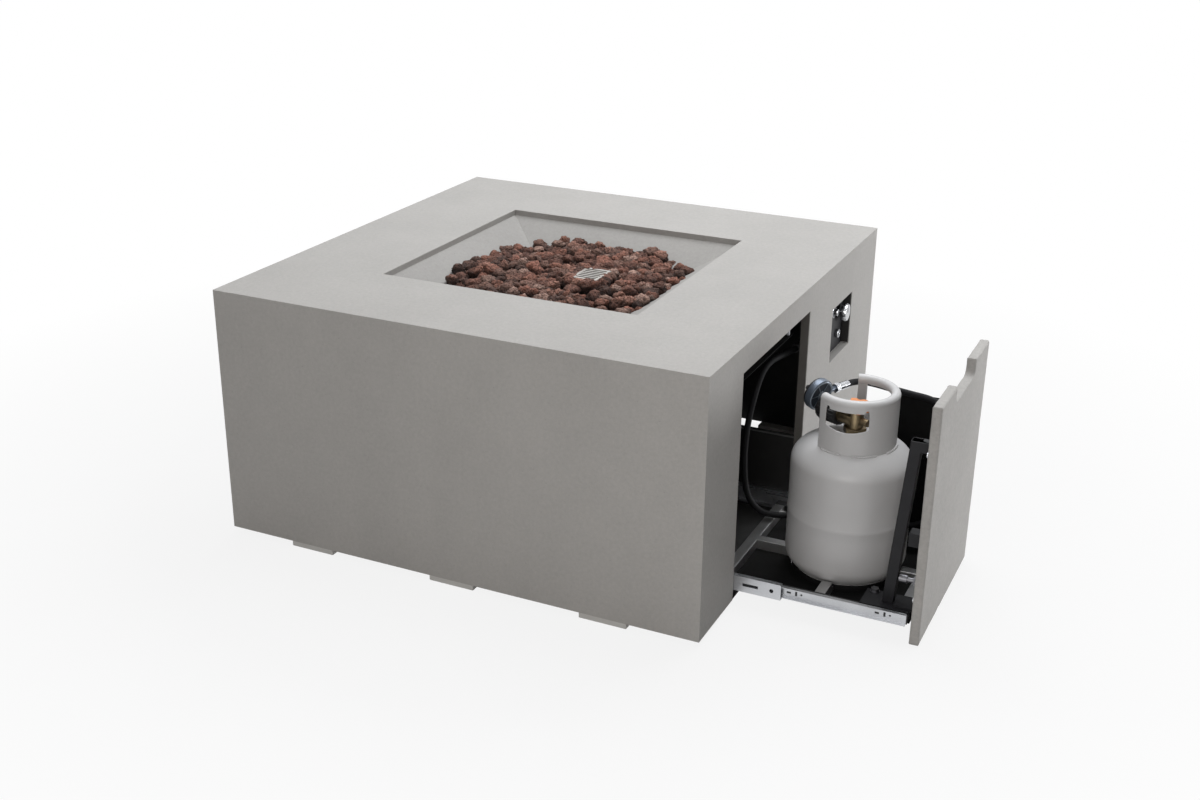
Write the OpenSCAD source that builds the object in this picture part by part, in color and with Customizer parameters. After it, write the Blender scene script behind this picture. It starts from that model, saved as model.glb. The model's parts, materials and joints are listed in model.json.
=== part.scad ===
// Square concrete gas fire pit table with a pull-out drawer for the gas cylinder.
// Millimetres, +Z up, origin at the centre of the shell's footprint on the floor.
// The drawer is drawn fully open, with its front panel clear of the right face.

/* [Table] */
// Side of the square concrete shell
side = 1016; // [990:1:1060]
// Height of the table top above the floor
table_h = 516; // [512:1:560]
// Height of the foot pads
foot_h = 12; // [10:1:16]
// Thickness of the concrete walls
wall = 18; // [16:1:22]
// Thickness of the concrete top
top_t = 34; // [30:1:40]
// Length of a foot pad along the wall
foot_len = 96; // [60:1:140]
// Width of a foot pad across the wall
foot_w = 40; // [30:1:60]
// Distance from the centre to an outer foot pad
foot_pitch = 318; // [280:1:340]
// Set-back of the foot pads from the wall face
foot_in = 2; // [1:1:6]

/* [Fire bowl] */
// Width of the square bowl at the table top
bowl_w = 550; // [530:1:570]
// Height of the upright lip around the bowl
lip_h = 12; // [8:1:16]
// Fall of the sloping bowl sides
bowl_fall = 54; // [48:1:56]
// Width of the square burner opening
hole_w = 340; // [330:1:350]
// Width of the thick block under the bowl
block_w = 600; // [596:1:620]
// Concrete left under the pan flange
seat_t = 20; // [16:1:22]
// Depth of the rebate that takes the pan flange
seat_d = 4; // [3:1:6]

/* [Burner] */
// Depth of the burner pan
pan_d = 36; // [34:1:40]
// Sheet thickness of the burner pan
pan_t = 1.5; // [1:0.1:2]
// Width of the pan flange
pan_flange = 11; // [8:1:13]
// Radius of the burner ring
ring_r = 105; // [100:1:115]
// Outer radius of the burner tube
ring_tube_r = 9.5; // [9:0.1:10.5]
// Wall of the burner tube
ring_wall = 1.5; // [1.2:0.1:2]
// Number of gas ports on the ring
ring_ports = 24; // [12:1:36]
// Radius of a gas port
port_r = 1.2; // [0.8:0.1:1.6]
// Length of the air mixer
mixer_len = 65; // [55:1:75]
// Outer radius of the feed tube
feed_r = 5; // [4:0.1:6]
// Width of the lava rock bed
bed_w = 456; // [440:1:480]
// Height of the rock bed's edge above the slope
bed_edge = 11; // [8:1:14]
// Drop from the lip to the middle of the rock bed
bed_sink = 8; // [4:1:12]
// Largest bump of the rock bed
bed_bump = 7; // [3:1:9]
// Number of rocks in the bed
rock_n = 140; // [100:1:160]
// Largest radius of a rock
rock_r = 25; // [20:0.5:28]

/* [Pilot] */
// Pilot place across the table
pilot_x = 69; // [66:1:72]
// Pilot place along the table
pilot_y = -40; // [-44:1:-36]
// Width of the pilot shield
pilot_w = 56; // [50:1:60]
// Length of the pilot shield
pilot_l = 73; // [66:1:78]
// Height of the pilot shield
pilot_h = 63; // [58:1:66]
// Sheet thickness of the pilot pieces
pilot_t = 1.2; // [1:0.1:1.5]
// Number of slots in the pilot shield
pilot_slots = 6; // [4:1:7]

/* [Drawer bay] */
// Middle of the drawer bay along the right face
bay_c = -150; // [-155:1:-145]
// Width of the drawer opening
bay_w = 379; // [376:1:384]
// Drop from the table top to the top of the drawer opening
bay_drop = 52; // [48:1:56]
// Opening travel of the drawer
travel = 350; // [330:1:360]
// Gap beside the drawer front
front_gap = 3.5; // [2:0.1:5]
// Gap above the drawer front
front_top_gap = 2; // [1.5:0.1:4]
// Underside of the drawer front above the floor
front_low = 4; // [3:0.5:8]
// Thickness of the drawer front
front_t = 18; // [16:1:18]
// Width of the hand notch
notch_w = 148; // [120:1:160]
// Depth of the hand notch
notch_d = 30; // [24:1:36]
// Corner radius of the hand notch
notch_r = 12; // [6:1:16]

/* [Slides] */
// Height of the slide axis above the floor
slide_z = 48; // [47:1:49]
// Thickness of a slide
slide_t = 12.7; // [12.5:0.1:13.5]
// Length of the outer members
outer_len = 396; // [380:1:400]
// Length of the middle and inner members
member_len = 390; // [375:1:394]
// Height of the outer member
outer_h = 40; // [39:0.5:41]
// Sheet thickness of the slide members
slide_sheet = 1.2; // [1:0.1:1.4]
// Ball diameter
ball_d = 3.2; // [3:0.1:3.4]
// Play around a ball
ball_play = 0.05; // [0.03:0.01:0.1]
// Number of balls in an outer row
outer_balls = 10; // [6:1:12]
// Number of balls in an inner row
inner_balls = 6; // [4:1:7]
// Distance from the front end of an inner member to its front holes
inner_front = 29; // [24:1:34]
// Distance from the front end of an inner member to its rear holes
inner_rear = 194; // [180:1:210]
// Share of the travel that the middle member makes
mid_share = 0.34; // [0.34:0.05:0.34]

/* [Carcass] */
// Thickness of the side plates
plate_t = 2.5; // [2:0.1:3]
// Bottom of the side plates above the floor
plate_z = 20; // [18:1:22]
// Height of the near side plate
near_plate_h = 50; // [49:1:56]
// Height of the far side plate
far_plate_h = 172; // [150:1:185]
// Width of the side plate flanges
flange_w = 30; // [26:1:36]
// Width of the rear tie
tie_w = 24; // [20:1:28]
// Height of the rear tie
tie_h = 40; // [36:1:44]
// Wall of the rear tie
tie_t = 2; // [1.5:0.1:3]
// Thickness of the tie end plates
tie_end_t = 4; // [3:0.1:6]
// Shank radius of the wall bolts
wall_bolt_r = 4; // [3:0.1:5]
// Depth of the wall bolts in the concrete
wall_bolt_l = 12; // [8:1:14]
// Drop of the heat shield below the bowl block
shield_drop = 12; // [10:1:14]
// Set-in of the rear standoffs from the edge of the block
shield_hold = 76; // [60:1:90]
// Sheet thickness of the heat shield
shield_t = 1.2; // [1:0.1:2]

/* [Controls] */
// Middle of the control niche along the right face
niche_c = 268; // [262:1:274]
// Width of the control niche
niche_w = 140; // [136:1:150]
// Drop from the table top to the top of the control niche
niche_drop = 98; // [94:1:103]
// Height of the control niche
niche_h = 117; // [112:1:122]
// Margin of the control plate round the niche
plate_lap = 14; // [12:1:18]
// Thickness of the control plate
cplate_t = 2; // [1.5:0.1:3]
// Knob axis from the middle of the niche
knob_side = 37; // [35:1:39]
// Knob axis above the bottom of the niche
knob_up = 80; // [78:1:82]
// Knob radius
knob_r = 19; // [17:0.5:20]
// Knob thickness
knob_t = 12.5; // [10:0.5:14]
// Clear gap between the knob and the control plate
knob_gap = 8.5; // [7:0.5:10]
// Stem radius
stem_r = 4; // [3:0.1:5]
// Push travel of the knob
knob_push = 3; // [2:0.5:4]
// Running clearance of the turning and sliding pieces
run = 0.06; // [0.04:0.01:0.09]
// Igniter axis from the middle of the niche
ign_side = -6; // [-8:1:-4]
// Igniter axis above the bottom of the niche
ign_up = 91; // [89:1:93]
// Radius of the igniter body
ign_r = 10; // [9:0.5:10.5]
// Length of the igniter body behind the plate
ign_len = 60; // [50:1:64]
// Radius of the igniter button
ign_button_r = 7.5; // [6:0.1:8]
// Height of the igniter button above its bezel
ign_button_h = 8; // [6:0.5:10]
// Key socket axis from the middle of the niche
key_side = 29; // [28:1:32]
// Key socket axis above the bottom of the niche
key_up = 33; // [31:1:34]
// Radius of the key bushing
key_r = 9.5; // [8:0.5:11]
// Radius of the key stem
key_stem_r = 6; // [5:0.1:6.5]

/* [Drawer frame] */
// Side of the square drawer tubes
bar = 20; // [18:1:21]
// Wall of the drawer tubes
bar_t = 1.8; // [1.5:0.1:2.5]
// Top of the drawer tubes above the floor
bar_top = 50; // [49:1:52]
// Distance from the panel face to the tank axis
tank_set = 194; // [190:1:198]
// Radius of the tank cup
cup_r = 100; // [98:1:104]
// Wall of the tank cup
cup_t = 3; // [2:0.1:4]
// Underside of the tank cup above the floor
cup_z = 4; // [3:0.5:6]
// Rim of the tank cup above the floor
cup_top = 40; // [36:1:42]
// Thickness of the corner plates
corner_t = 4; // [3:0.1:5]
// Length of the corner plates
corner_len = 90; // [80:1:95]
// Width of the corner plates
corner_w = 58; // [54:1:60]
// Top of the struts above the floor
strut_top = 376; // [366:1:384]
// Outward lean of the struts
strut_lean = 25; // [20:1:28]
// Distance from the panel to the foot of the struts
strut_back = 54; // [50:1:58]
// Distance of the struts from the drawer's middle plane
strut_y = 135; // [132:1:138]
// Thickness of the panel brackets
brk_t = 4; // [3:0.1:5]
// Height of the lower panel brackets
low_brk_h = 64; // [60:1:70]
// Underside of the middle panel brackets above the floor
mid_brk_z = 176; // [150:1:220]
// Height of the middle panel brackets
mid_brk_h = 26; // [24:1:36]
// Thickness of the far gusset
gusset_t = 2; // [1.5:0.1:2.5]
// Length of the far gusset
gusset_len = 140; // [130:1:146]
// Drop from the top of the struts to the top of the far gusset
gusset_drop = 38; // [30:1:46]
// Sheet thickness of the drawer tray
tray_t = 1.5; // [1:0.1:2.5]

/* [Gas cylinder] */
// Radius of the cylinder
tank_r = 114.3; // [112:0.1:117]
// Bottom of the straight wall above the cup floor
tank_low = 65; // [62:1:70]
// Length of the straight wall
tank_mid = 180; // [170:1:184]
// Depth of each domed head
head_d = 57; // [54:1:60]
// Sheet thickness of the cylinder
tank_t = 3; // [2:0.1:4]
// Radius of the foot ring
foot_ring_r = 92.5; // [88:0.5:95]
// Radius of the collar
collar_r = 78; // [74:0.5:82]
// Sheet thickness of collar and foot ring
collar_t = 2.5; // [2:0.1:3]
// Height of the collar rim above the top of the dome
collar_h = 90; // [86:1:94]
// Radius of the rolled rim
rim_r = 9; // [7:0.5:10]
// Start of the collar gap
gap_from = 105; // [100:1:110]
// End of the collar gap
gap_to = 228; // [222:1:232]
// Width of the hand windows
win_w = 80; // [70:1:84]
// Height of the hand windows
win_h = 40; // [34:1:42]
// Drop from the rim of the collar to the hand windows
win_drop = 22; // [20:1:26]
// Radius of the curved lower edge of the hand windows
win_arc = 98; // [90:1:110]
// Turn from the middle of the collar gap to a hand window
win_turn = 105.5; // [104:0.5:107]
// Width of the relief notches in the hand windows
win_notch = 6; // [4:0.5:8]
// Height of the valve outlet above the dome
outlet_h = 27; // [25:1:28]
// Direction of the valve outlet
outlet_a = 155; // [150:1:160]
// Radius of the valve outlet
outlet_r = 16.6; // [15:0.1:17]
// Length of the valve outlet
outlet_len = 46; // [44:1:48]
// Radius of the coupling nut
nut_r = 22.5; // [21:0.1:24]
// Length of the coupling nut
nut_len = 46; // [42:1:48]
// Radius of the inlet nipple
nipple_r = 9; // [8:0.1:10]
// Radius of the regulator disc
reg_r = 31; // [29:0.5:33]
// Thickness of the regulator disc
reg_t = 12; // [11:0.5:14]
// Height of the regulator disc above the valve outlet
reg_up = 20; // [18:1:22]
// Lean of the regulator disc towards the cylinder
reg_tilt = 12; // [0:1:15]
// Thickness of the regulator cover
cover_t = 5; // [4:0.5:7]
// Radius of the handwheel
wheel_r = 25; // [22:0.5:28]
// Height of the handwheel
wheel_h = 14; // [12:1:15]

/* [Hose] */
// Radius of the gas hose
hose_r = 6.25; // [5:0.05:6.5]

/* [Hidden] */
$fn = 64;

// Cutting overshoot
e = 1;
half = side / 2;
inn = half - wall;
z_lip = table_h - lip_h;
z_hole = z_lip - bowl_fall;
slope = bowl_fall / ((bowl_w - hole_w) / 2);
z_seat = z_hole - seat_d;
z_block = z_seat - seat_t;
z_under = table_h - top_t;
seat_w = hole_w + 2 * pan_flange + 2;
z_pan = z_seat - pan_d;
z_floor = z_pan + pan_t;
z_ring = z_floor + 13;
bay_lo = bay_c - bay_w / 2;
bay_hi = bay_c + bay_w / 2;
x_face = half + travel;
x_back = x_face - front_t;
tank_x = x_face - tank_set;
bay_top = table_h - bay_drop;
shield_z = z_block - shield_drop;
front_top = bay_top - front_top_gap;
x_plate = inn - cplate_t;

// Slide section: gap between members, half heights and depths from the side plate
race = ball_d + 2 * ball_play;
o_hi = outer_h / 2;
o_lo = o_hi - slide_sheet;
m_hi = o_lo - race;
m_lo = m_hi - slide_sheet;
i_hi = m_lo - race;
web_gap = 0.6;
x_outer = inn - 4;
x_mid = inn - 9.5 + travel * mid_share;
x_inner = inn - 10 + travel;
rail_lo = bay_lo + slide_t;
rail_hi = bay_hi - slide_t;

// Rear tie behind the closed drawer
x_tie = x_outer - outer_len - 6;

// Bolts into the concrete: right wall as [y, z], front and back walls as [x, z]
right_bolts = [[bay_hi + plate_t + flange_w / 2, plate_z + 38],
  [bay_hi + plate_t + flange_w / 2, plate_z + 130],
  [bay_lo - plate_t - flange_w / 2, plate_z + near_plate_h / 2]];
end_bolts = [for (s = [-1, 1]) [x_tie - tie_w / 2 + s * 22, plate_z + tie_h + 10]];
niche_lo = niche_c - niche_w / 2;
niche_hi = niche_c + niche_w / 2;
niche_top = table_h - niche_drop;
niche_z = niche_top - niche_h;
knob_y = niche_c + knob_side;
knob_z = niche_z + knob_up;
ign_y = niche_c + ign_side;
ign_z = niche_z + ign_up;
key_y = niche_c + key_side;
key_z = niche_z + key_up;
plate_screw_r = 2;
plate_screw_l = 10;
plate_pts = [for (y = [niche_lo - plate_lap / 2, niche_hi + plate_lap / 2])
  for (z = [niche_z - plate_lap / 2, niche_top + plate_lap / 2]) [y, z]];

// Knob and valve
knob_x = inn + knob_gap;
valve_x1 = x_plate - 2;
valve_x0 = valve_x1 - 46;
valve_back = valve_x0 - 24;
ign_x0 = x_plate - ign_len - 2;
valve_y0 = knob_y - 21;
valve_y1 = knob_y + 25;
valve_z0 = knob_z - 19;
valve_z1 = knob_z + 17;
stem_x0 = valve_x0 + 12;
inlet_x = valve_x0 + 22;
inlet_z = knob_z - 11;
fit_y = valve_y0 - 14;
ferrule_l = 28;
out_y = knob_y + 17;
out_z = knob_z - 7;
out_x = valve_x0 - 12;
bezel_t = 4;
key_body = 28;

// Drawer front fixings
screw_r = 2.5;
screw_l = 10;

// Gas cylinder heights
z_tank = cup_z + cup_t;
tz0 = z_tank + tank_low;
tz1 = tz0 + tank_mid;
dome = tz1 + head_d;
z_collar = dome + collar_h;
z_outlet = dome + outlet_h;
nut_from = outlet_len - 12;
reg_from = nut_from + nut_len + 8;
z_reg = z_outlet + reg_up;
z_wheel = z_outlet + outlet_r + 1.4;
boss_p = reg_r + 14;
ferrule_p = boss_p + 36;

// Directions of the valve outlet and of the hose that leaves the regulator
out_dir = [cos(outlet_a), sin(outlet_a), 0];
hose_dir = [sin(outlet_a), -cos(outlet_a), 0];
hose_from = [tank_x, bay_c, z_reg] + (reg_from + reg_t / 2) * out_dir + (ferrule_p + 0.2) * hose_dir;
hose_y = bay_c + 155;
clip_p = [inn - 16, bay_hi + 30.5, inlet_z + 2];
// Route of the hose: by the far gusset, down behind the panel, back along the drawer, up to the gas valve
hose_pts = [hose_from, hose_from + 14 * hose_dir, [x_back - 207, bay_c + 141, 355],
  [x_back - 184, bay_c + 150, 351], [x_back - 150, hose_y, 345], [x_back - 110, hose_y, 341],
  [x_back - 75, hose_y, 337], [x_back - 48, hose_y, 325], [x_back - 30, hose_y, 302],
  [x_back - 23, hose_y, 268], [x_back - 23, hose_y, 220], [x_back - 26, hose_y, 165],
  [x_back - 36, hose_y, 116], [x_back - 58, hose_y, 82], [x_back - 93, hose_y, 63],
  [x_back - 140, hose_y, 58], [x_back - 200, bay_c + 154, 58], [x_back - 260, bay_c + 142, 58],
  [inn + 40, bay_c + 114, 58], [inn + 5, bay_c + 90, 60], [inn - 24, bay_c + 76, 69],
  [inn - 46, bay_c + 70, 93], [inn - 58, bay_c + 70, 130], [inn - 63, bay_c + 72, 190],
  [inn - 61, bay_c + 78, 250], [inn - 56, bay_c + 94, 305], [inn - 50, bay_c + 116, 346],
  [inn - 42, bay_c + 140, 364], [inn - 30, bay_c + 168, inlet_z], [inn - 20, bay_c + 195, clip_p[2]],
  clip_p - [0, 6, 0], clip_p + [0, 6, 0], [inlet_x + 10, clip_p[1] + 50, inlet_z + 1],
  [inlet_x + 4, fit_y - ferrule_l - 62, inlet_z], [inlet_x, fit_y - ferrule_l - 20, inlet_z],
  [inlet_x, fit_y - ferrule_l, inlet_z]];
// Route of the tube from the burner's elbow to the gas valve
elbow_z = z_pan - mixer_len - 18;
feed_pts = [[30, 0, elbow_z], [46, 0, elbow_z], [72, 8, elbow_z + 1], [106, 42, elbow_z + 4],
  [0.4 * out_x, 0.4 * out_y, elbow_z + 15], [0.68 * out_x, 0.78 * out_y, out_z - 16],
  [out_x - 58, out_y - 18, out_z - 5], [out_x - 24, out_y, out_z], [out_x, out_y, out_z]];
// Routes of the two pilot leads
thermo_pts = [[valve_back, knob_y, knob_z], [valve_back - 16, knob_y, knob_z],
  [valve_back - 76, knob_y - 15, knob_z - 3], [0.58 * valve_back, 0.72 * knob_y, knob_z - 7],
  [0.36 * valve_back, 0.36 * knob_y, knob_z - 7], [pilot_x + 29, pilot_y + 50, z_pan - 34],
  [pilot_x + 9, pilot_y + 16, z_pan - 28], [pilot_x + 5, pilot_y + 10, z_pan - 18],
  [pilot_x + 5, pilot_y + 10, z_pan - 6]];
spark_pts = [[ign_x0, ign_y, ign_z], [ign_x0 - 16, ign_y, ign_z], [ign_x0 - 76, ign_y - 17, ign_z - 4],
  [0.563 * ign_x0, 0.65 * ign_y, ign_z - 10], [0.352 * ign_x0, 0.23 * ign_y, ign_z - 14],
  [pilot_x + 23, pilot_y + 14, z_pan - 32], [pilot_x - 1, pilot_y - 8, z_pan - 26],
  [pilot_x - 5, pilot_y - 12, z_pan - 17], [pilot_x - 5, pilot_y - 12, z_pan - 6]];
lead_r = 1.4;

// Swept round tube along a smooth curve through points
function unit(v) = v / norm(v);
function blend4(a, b, c, d, t) = 0.5 * (2 * b + (c - a) * t + (2 * a - 5 * b + 4 * c - d) * t * t
  + (3 * b - a - 3 * c + d) * t * t * t);
function curve(p, k) = concat([for (i = [0:len(p) - 2]) for (s = [0:k - 1])
  blend4(p[max(i - 1, 0)], p[i], p[i + 1], p[min(i + 2, len(p) - 1)], s / k)], [p[len(p) - 1]]);
function tangent(p, i) = i == 0 ? unit(p[1] - p[0])
  : i == len(p) - 1 ? unit(p[i] - p[i - 1]) : unit(p[i + 1] - p[i - 1]);
function side_dir(t) = unit(cross(t, abs(t[2]) < 0.9 ? [0, 0, 1] : [1, 0, 0]));
function carry(p, i, n) = let (t = tangent(p, i)) unit(n - (n * t) * t);
function normals(p, i = 0, n = undef, out = []) = i == len(p) ? out
  : let (m = i == 0 ? side_dir(tangent(p, 0)) : carry(p, i, n)) normals(p, i + 1, m, concat(out, [m]));

module sweep(p, r, sides) {
  ns = normals(p);
  pts = [for (i = [0:len(p) - 1]) let (n = ns[i], b = cross(tangent(p, i), n))
    for (j = [0:sides - 1]) p[i] + r * (cos(360 * j / sides) * n + sin(360 * j / sides) * b)];
  walls = [for (i = [0:len(p) - 2]) for (j = [0:sides - 1])
    let (a = i * sides + j, b = i * sides + (j + 1) % sides)
    each [[a, a + sides, b], [b, a + sides, b + sides]]];
  last = (len(p) - 1) * sides;
  ends = [for (j = [1:sides - 2]) each [[0, j, j + 1], [last, last + j + 1, last + j]]];
  polyhedron(pts, concat(walls, ends), convexity = 10);
}

// Cylinder along +X from x
module xrod(x, y, z, r, l) { translate([x, y, z]) rotate([0, 90, 0]) cylinder(r = r, h = l); }
// Cylinder along +Y from y
module yrod(x, y, z, r, l) { translate([x, y, z]) rotate([-90, 0, 0]) cylinder(r = r, h = l); }
// Cylinder along +Z from z
module zrod(x, y, z, r, l) { translate([x, y, z]) cylinder(r = r, h = l); }
// Block between two corners
module block(a, b) { translate(a) cube(b - a); }
// Square frame centred on the origin
module slab(w, z0, z1) { translate([-w / 2, -w / 2, z0]) cube([w, w, z1 - z0]); }
// Mirror copy on the far side of the drawer's middle plane
module far() { translate([0, 2 * bay_c, 0]) mirror([0, 1, 0]) children(); }
// Along the valve outlet: local +X points out of the tank axis
module outlet() { translate([tank_x, bay_c, z_outlet]) rotate([0, 0, outlet_a]) children(); }

module concrete_shell() {
  color([0.66, 0.64, 0.61]) difference() {
    slab(side, foot_h, table_h);
    difference() {
      slab(2 * inn, foot_h - e, z_under);
      slab(block_w, z_block, z_under + e);
    }
    slab(bowl_w, z_lip, table_h + e);
    for (a = [0:90:270]) rotate([0, 0, a]) bowl_side();
    slab(seat_w, z_seat, z_lip);
    slab(hole_w, z_block - e, z_lip);
    block([inn - e, bay_lo, foot_h - e], [half + e, bay_hi, bay_top]);
    block([inn - e, niche_lo, niche_z], [half + e, niche_hi, niche_top]);
    for (p = right_bolts) xrod(inn - e, p[0], p[1], wall_bolt_r, wall_bolt_l + e);
    for (p = plate_pts) xrod(inn - e, p[0], p[1], plate_screw_r, plate_screw_l + e);
    for (p = end_bolts) {
      yrod(p[0], inn - e, p[1], wall_bolt_r, wall_bolt_l + e);
      yrod(p[0], -inn - wall_bolt_l, p[1], wall_bolt_r, wall_bolt_l + e);
    }
  }
}

// One sloping side of the bowl, a wedge that narrows to the middle
module bowl_side() {
  intersection() {
    rotate([90, 0, 0]) translate([0, 0, -bowl_w / 2]) linear_extrude(bowl_w)
      polygon([[0, z_hole], [hole_w / 2, z_hole], [bowl_w / 2, z_lip], [bowl_w / 2, z_lip + e],
        [0, z_lip + e]]);
    translate([0, 0, z_hole - e]) linear_extrude(bowl_fall + 3 * e)
      polygon([[0, 0], [bowl_w, -bowl_w], [bowl_w, bowl_w]]);
  }
}

module foot_pads() {
  y0 = -half + foot_in;
  color([0.62, 0.62, 0.61]) {
    for (a = [0, 180]) rotate([0, 0, a]) for (x = [-foot_pitch, 0, foot_pitch])
      block([x - foot_len / 2, y0, 0], [x + foot_len / 2, y0 + foot_w, foot_h]);
    block([-half + foot_in, -foot_len / 2, 0], [-half + foot_in + foot_w, foot_len / 2, foot_h]);
    block([half - foot_in - foot_w, niche_c - foot_len / 2, 0],
      [half - foot_in, niche_c + foot_len / 2, foot_h]);
  }
}

module rear_tie() {
  color([0.12, 0.12, 0.13]) {
    difference() {
      block([x_tie - tie_w, -inn + tie_end_t, plate_z], [x_tie, inn - tie_end_t, plate_z + tie_h]);
      block([x_tie - tie_w + tie_t, -inn, plate_z + tie_t], [x_tie - tie_t, inn, plate_z + tie_h - tie_t]);
    }
    for (s = [0, 1]) mirror([0, s, 0]) difference() {
      block([x_tie - tie_w / 2 - 32, inn - tie_end_t, plate_z],
        [x_tie - tie_w / 2 + 32, inn, plate_z + tie_h + 22]);
      for (p = end_bolts) yrod(p[0], inn - tie_end_t - e, p[1], wall_bolt_r, tie_end_t + 2 * e);
    }
  }
}

// Side plate with a flange at the wall and one at the rear tie, drawn on the near side
module side_plate(h, hem) {
  y1 = bay_lo;
  y0 = bay_lo - plate_t;
  block([x_tie, y0, plate_z], [inn, y1, plate_z + h]);
  block([x_tie, y0 - flange_w, plate_z], [x_tie + plate_t, y0, plate_z + min(h, tie_h)]);
  difference() {
    block([inn - plate_t, y0 - flange_w, plate_z], [inn, y0, plate_z + h]);
    if (hem == 0) xrod(inn - plate_t - e, right_bolts[2][0], right_bolts[2][1], wall_bolt_r, plate_t + 2 * e);
    if (hem > 0) for (p = [right_bolts[0], right_bolts[1]])
      xrod(inn - plate_t - e, 2 * bay_c - p[0], p[1], wall_bolt_r, plate_t + 2 * e);
  }
  if (hem > 0) block([x_tie + plate_t, y0 - hem, plate_z + h - plate_t], [inn - plate_t, y0, plate_z + h]);
}

module near_side_plate() { color([0.14, 0.14, 0.15]) side_plate(near_plate_h, 0); }

module far_side_plate() { color([0.09, 0.09, 0.095]) far() side_plate(far_plate_h, 8); }

// Bolt with its head on the outside of a plate and its shank into the wall, along +X
module wall_bolt(seat) {
  rotate([0, 90, 0]) cylinder(r = wall_bolt_r, h = wall_bolt_l + seat);
  translate([-5, 0, 0]) rotate([0, 90, 0]) cylinder(r = 7.5, h = 5, $fn = 6);
}

module frame_bolts() {
  color([0.62, 0.63, 0.65]) {
    for (p = right_bolts) translate([inn - plate_t, p[0], p[1]]) wall_bolt(plate_t);
    for (p = end_bolts) {
      translate([p[0], inn - tie_end_t, p[1]]) rotate([0, 0, 90]) wall_bolt(tie_end_t);
      translate([p[0], -inn + tie_end_t, p[1]]) rotate([0, 0, -90]) wall_bolt(tie_end_t);
    }
  }
}

// Channel of a slide on the near side: hi is its half height, web from w0, legs from l0 to l1
module channel(x0, x1, hi, w0, l0, l1) {
  y = bay_lo;
  block([x0, y + w0, slide_z - hi], [x1, y + w0 + slide_sheet, slide_z + hi]);
  for (z = [slide_z - hi, slide_z + hi - slide_sheet]) block([x0, y + l0, z], [x1, y + l1, z + slide_sheet]);
}

module slide_outer() {
  difference() {
    channel(x_outer - outer_len, x_outer, o_hi, 0, 0, slide_t - 3);
    for (x = [x_outer - 30, x_outer - outer_len + 30]) yrod(x, bay_lo - e, slide_z, 3, slide_sheet + 2 * e);
  }
}
module slide_outer_near() { color([0.72, 0.73, 0.75]) slide_outer(); }
module slide_outer_far() { color([0.72, 0.73, 0.75]) far() slide_outer(); }

module slide_middle() {
  w0 = slide_sheet + web_gap;
  difference() {
    channel(x_mid - member_len, x_mid, m_hi, w0, w0, slide_t - 1);
    for (x = [x_mid - 18, x_mid - member_len + 24]) yrod(x, bay_lo, slide_z, 4, slide_t);
    block([x_mid - 74, bay_lo, slide_z - 3], [x_mid - 44, bay_lo + w0 + slide_sheet + e, slide_z + 3]);
  }
}
module slide_middle_near() { color([0.75, 0.76, 0.78]) slide_middle(); }
module slide_middle_far() { color([0.75, 0.76, 0.78]) far() slide_middle(); }

module slide_inner() {
  w0 = slide_t - slide_sheet;
  difference() {
    channel(x_inner - member_len, x_inner, i_hi, w0, 2 * slide_sheet + 2 * web_gap + 1, slide_t);
    for (x = [x_inner - inner_front, x_inner - inner_rear]) {
      yrod(x, bay_lo, slide_z, 2, slide_t + e);
      block([x - 12, bay_lo, slide_z - 4.5], [x - 8, bay_lo + slide_t + e, slide_z + 4.5]);
      block([x - 28, bay_lo, slide_z - 2], [x - 20, bay_lo + slide_t + e, slide_z + 2]);
    }
    yrod(x_inner - member_len + 20, bay_lo, slide_z, 3, slide_t + e);
  }
}
module slide_inner_near() { color([0.78, 0.79, 0.8]) slide_inner(); }
module slide_inner_far() { color([0.78, 0.79, 0.8]) far() slide_inner(); }

// One row of balls joined by its retainer strip
module ball_row(x0, x1, y, z, n) {
  block([x0, y - 1.8, z - 0.5], [x1, y + 1.8, z + 0.5]);
  for (i = [0:n - 1]) translate([x0 + 6 + i * (x1 - x0 - 12) / (n - 1), y, z]) sphere(d = ball_d);
}
module cage(x0, x1, depth, off, n) {
  for (s = [-1, 1]) ball_row(x0, x1, bay_lo + depth, slide_z + s * off, n);
  far() for (s = [-1, 1]) ball_row(x0, x1, bay_lo + depth, slide_z + s * off, n);
}
module outer_ball_cages() {
  color([0.6, 0.61, 0.63]) cage(x_mid - member_len + 24, x_outer - 10,
    (slide_t - 3 + slide_sheet + web_gap) / 2, m_hi + race / 2, outer_balls);
}
module inner_ball_cages() {
  color([0.6, 0.61, 0.63]) cage(x_inner - member_len + 8, x_mid - 8, slide_t - 4.5,
    i_hi + race / 2, inner_balls);
}

module burner_pan() {
  w = hole_w - 2;
  color([0.6, 0.6, 0.6]) difference() {
    union() {
      slab(hole_w + 2 * pan_flange, z_seat, z_seat + pan_t);
      slab(w, z_pan, z_seat + pan_t);
    }
    slab(w - 2 * pan_t, z_floor, z_seat + pan_t + e);
    zrod(0, 0, z_pan - e, 10.5, pan_t + 2 * e);
    zrod(pilot_x + 5, pilot_y + 10, z_pan - e, 2.8, pan_t + 2 * e);
    zrod(pilot_x - 5, pilot_y - 12, z_pan - e, 3.6, pan_t + 2 * e);
    for (x = [-1, 1]) for (y = [-1, 1])
      zrod(x * (w / 2 - 24), y * (w / 2 - 24), z_pan - e, 5, pan_t + 2 * e);
  }
}

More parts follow.
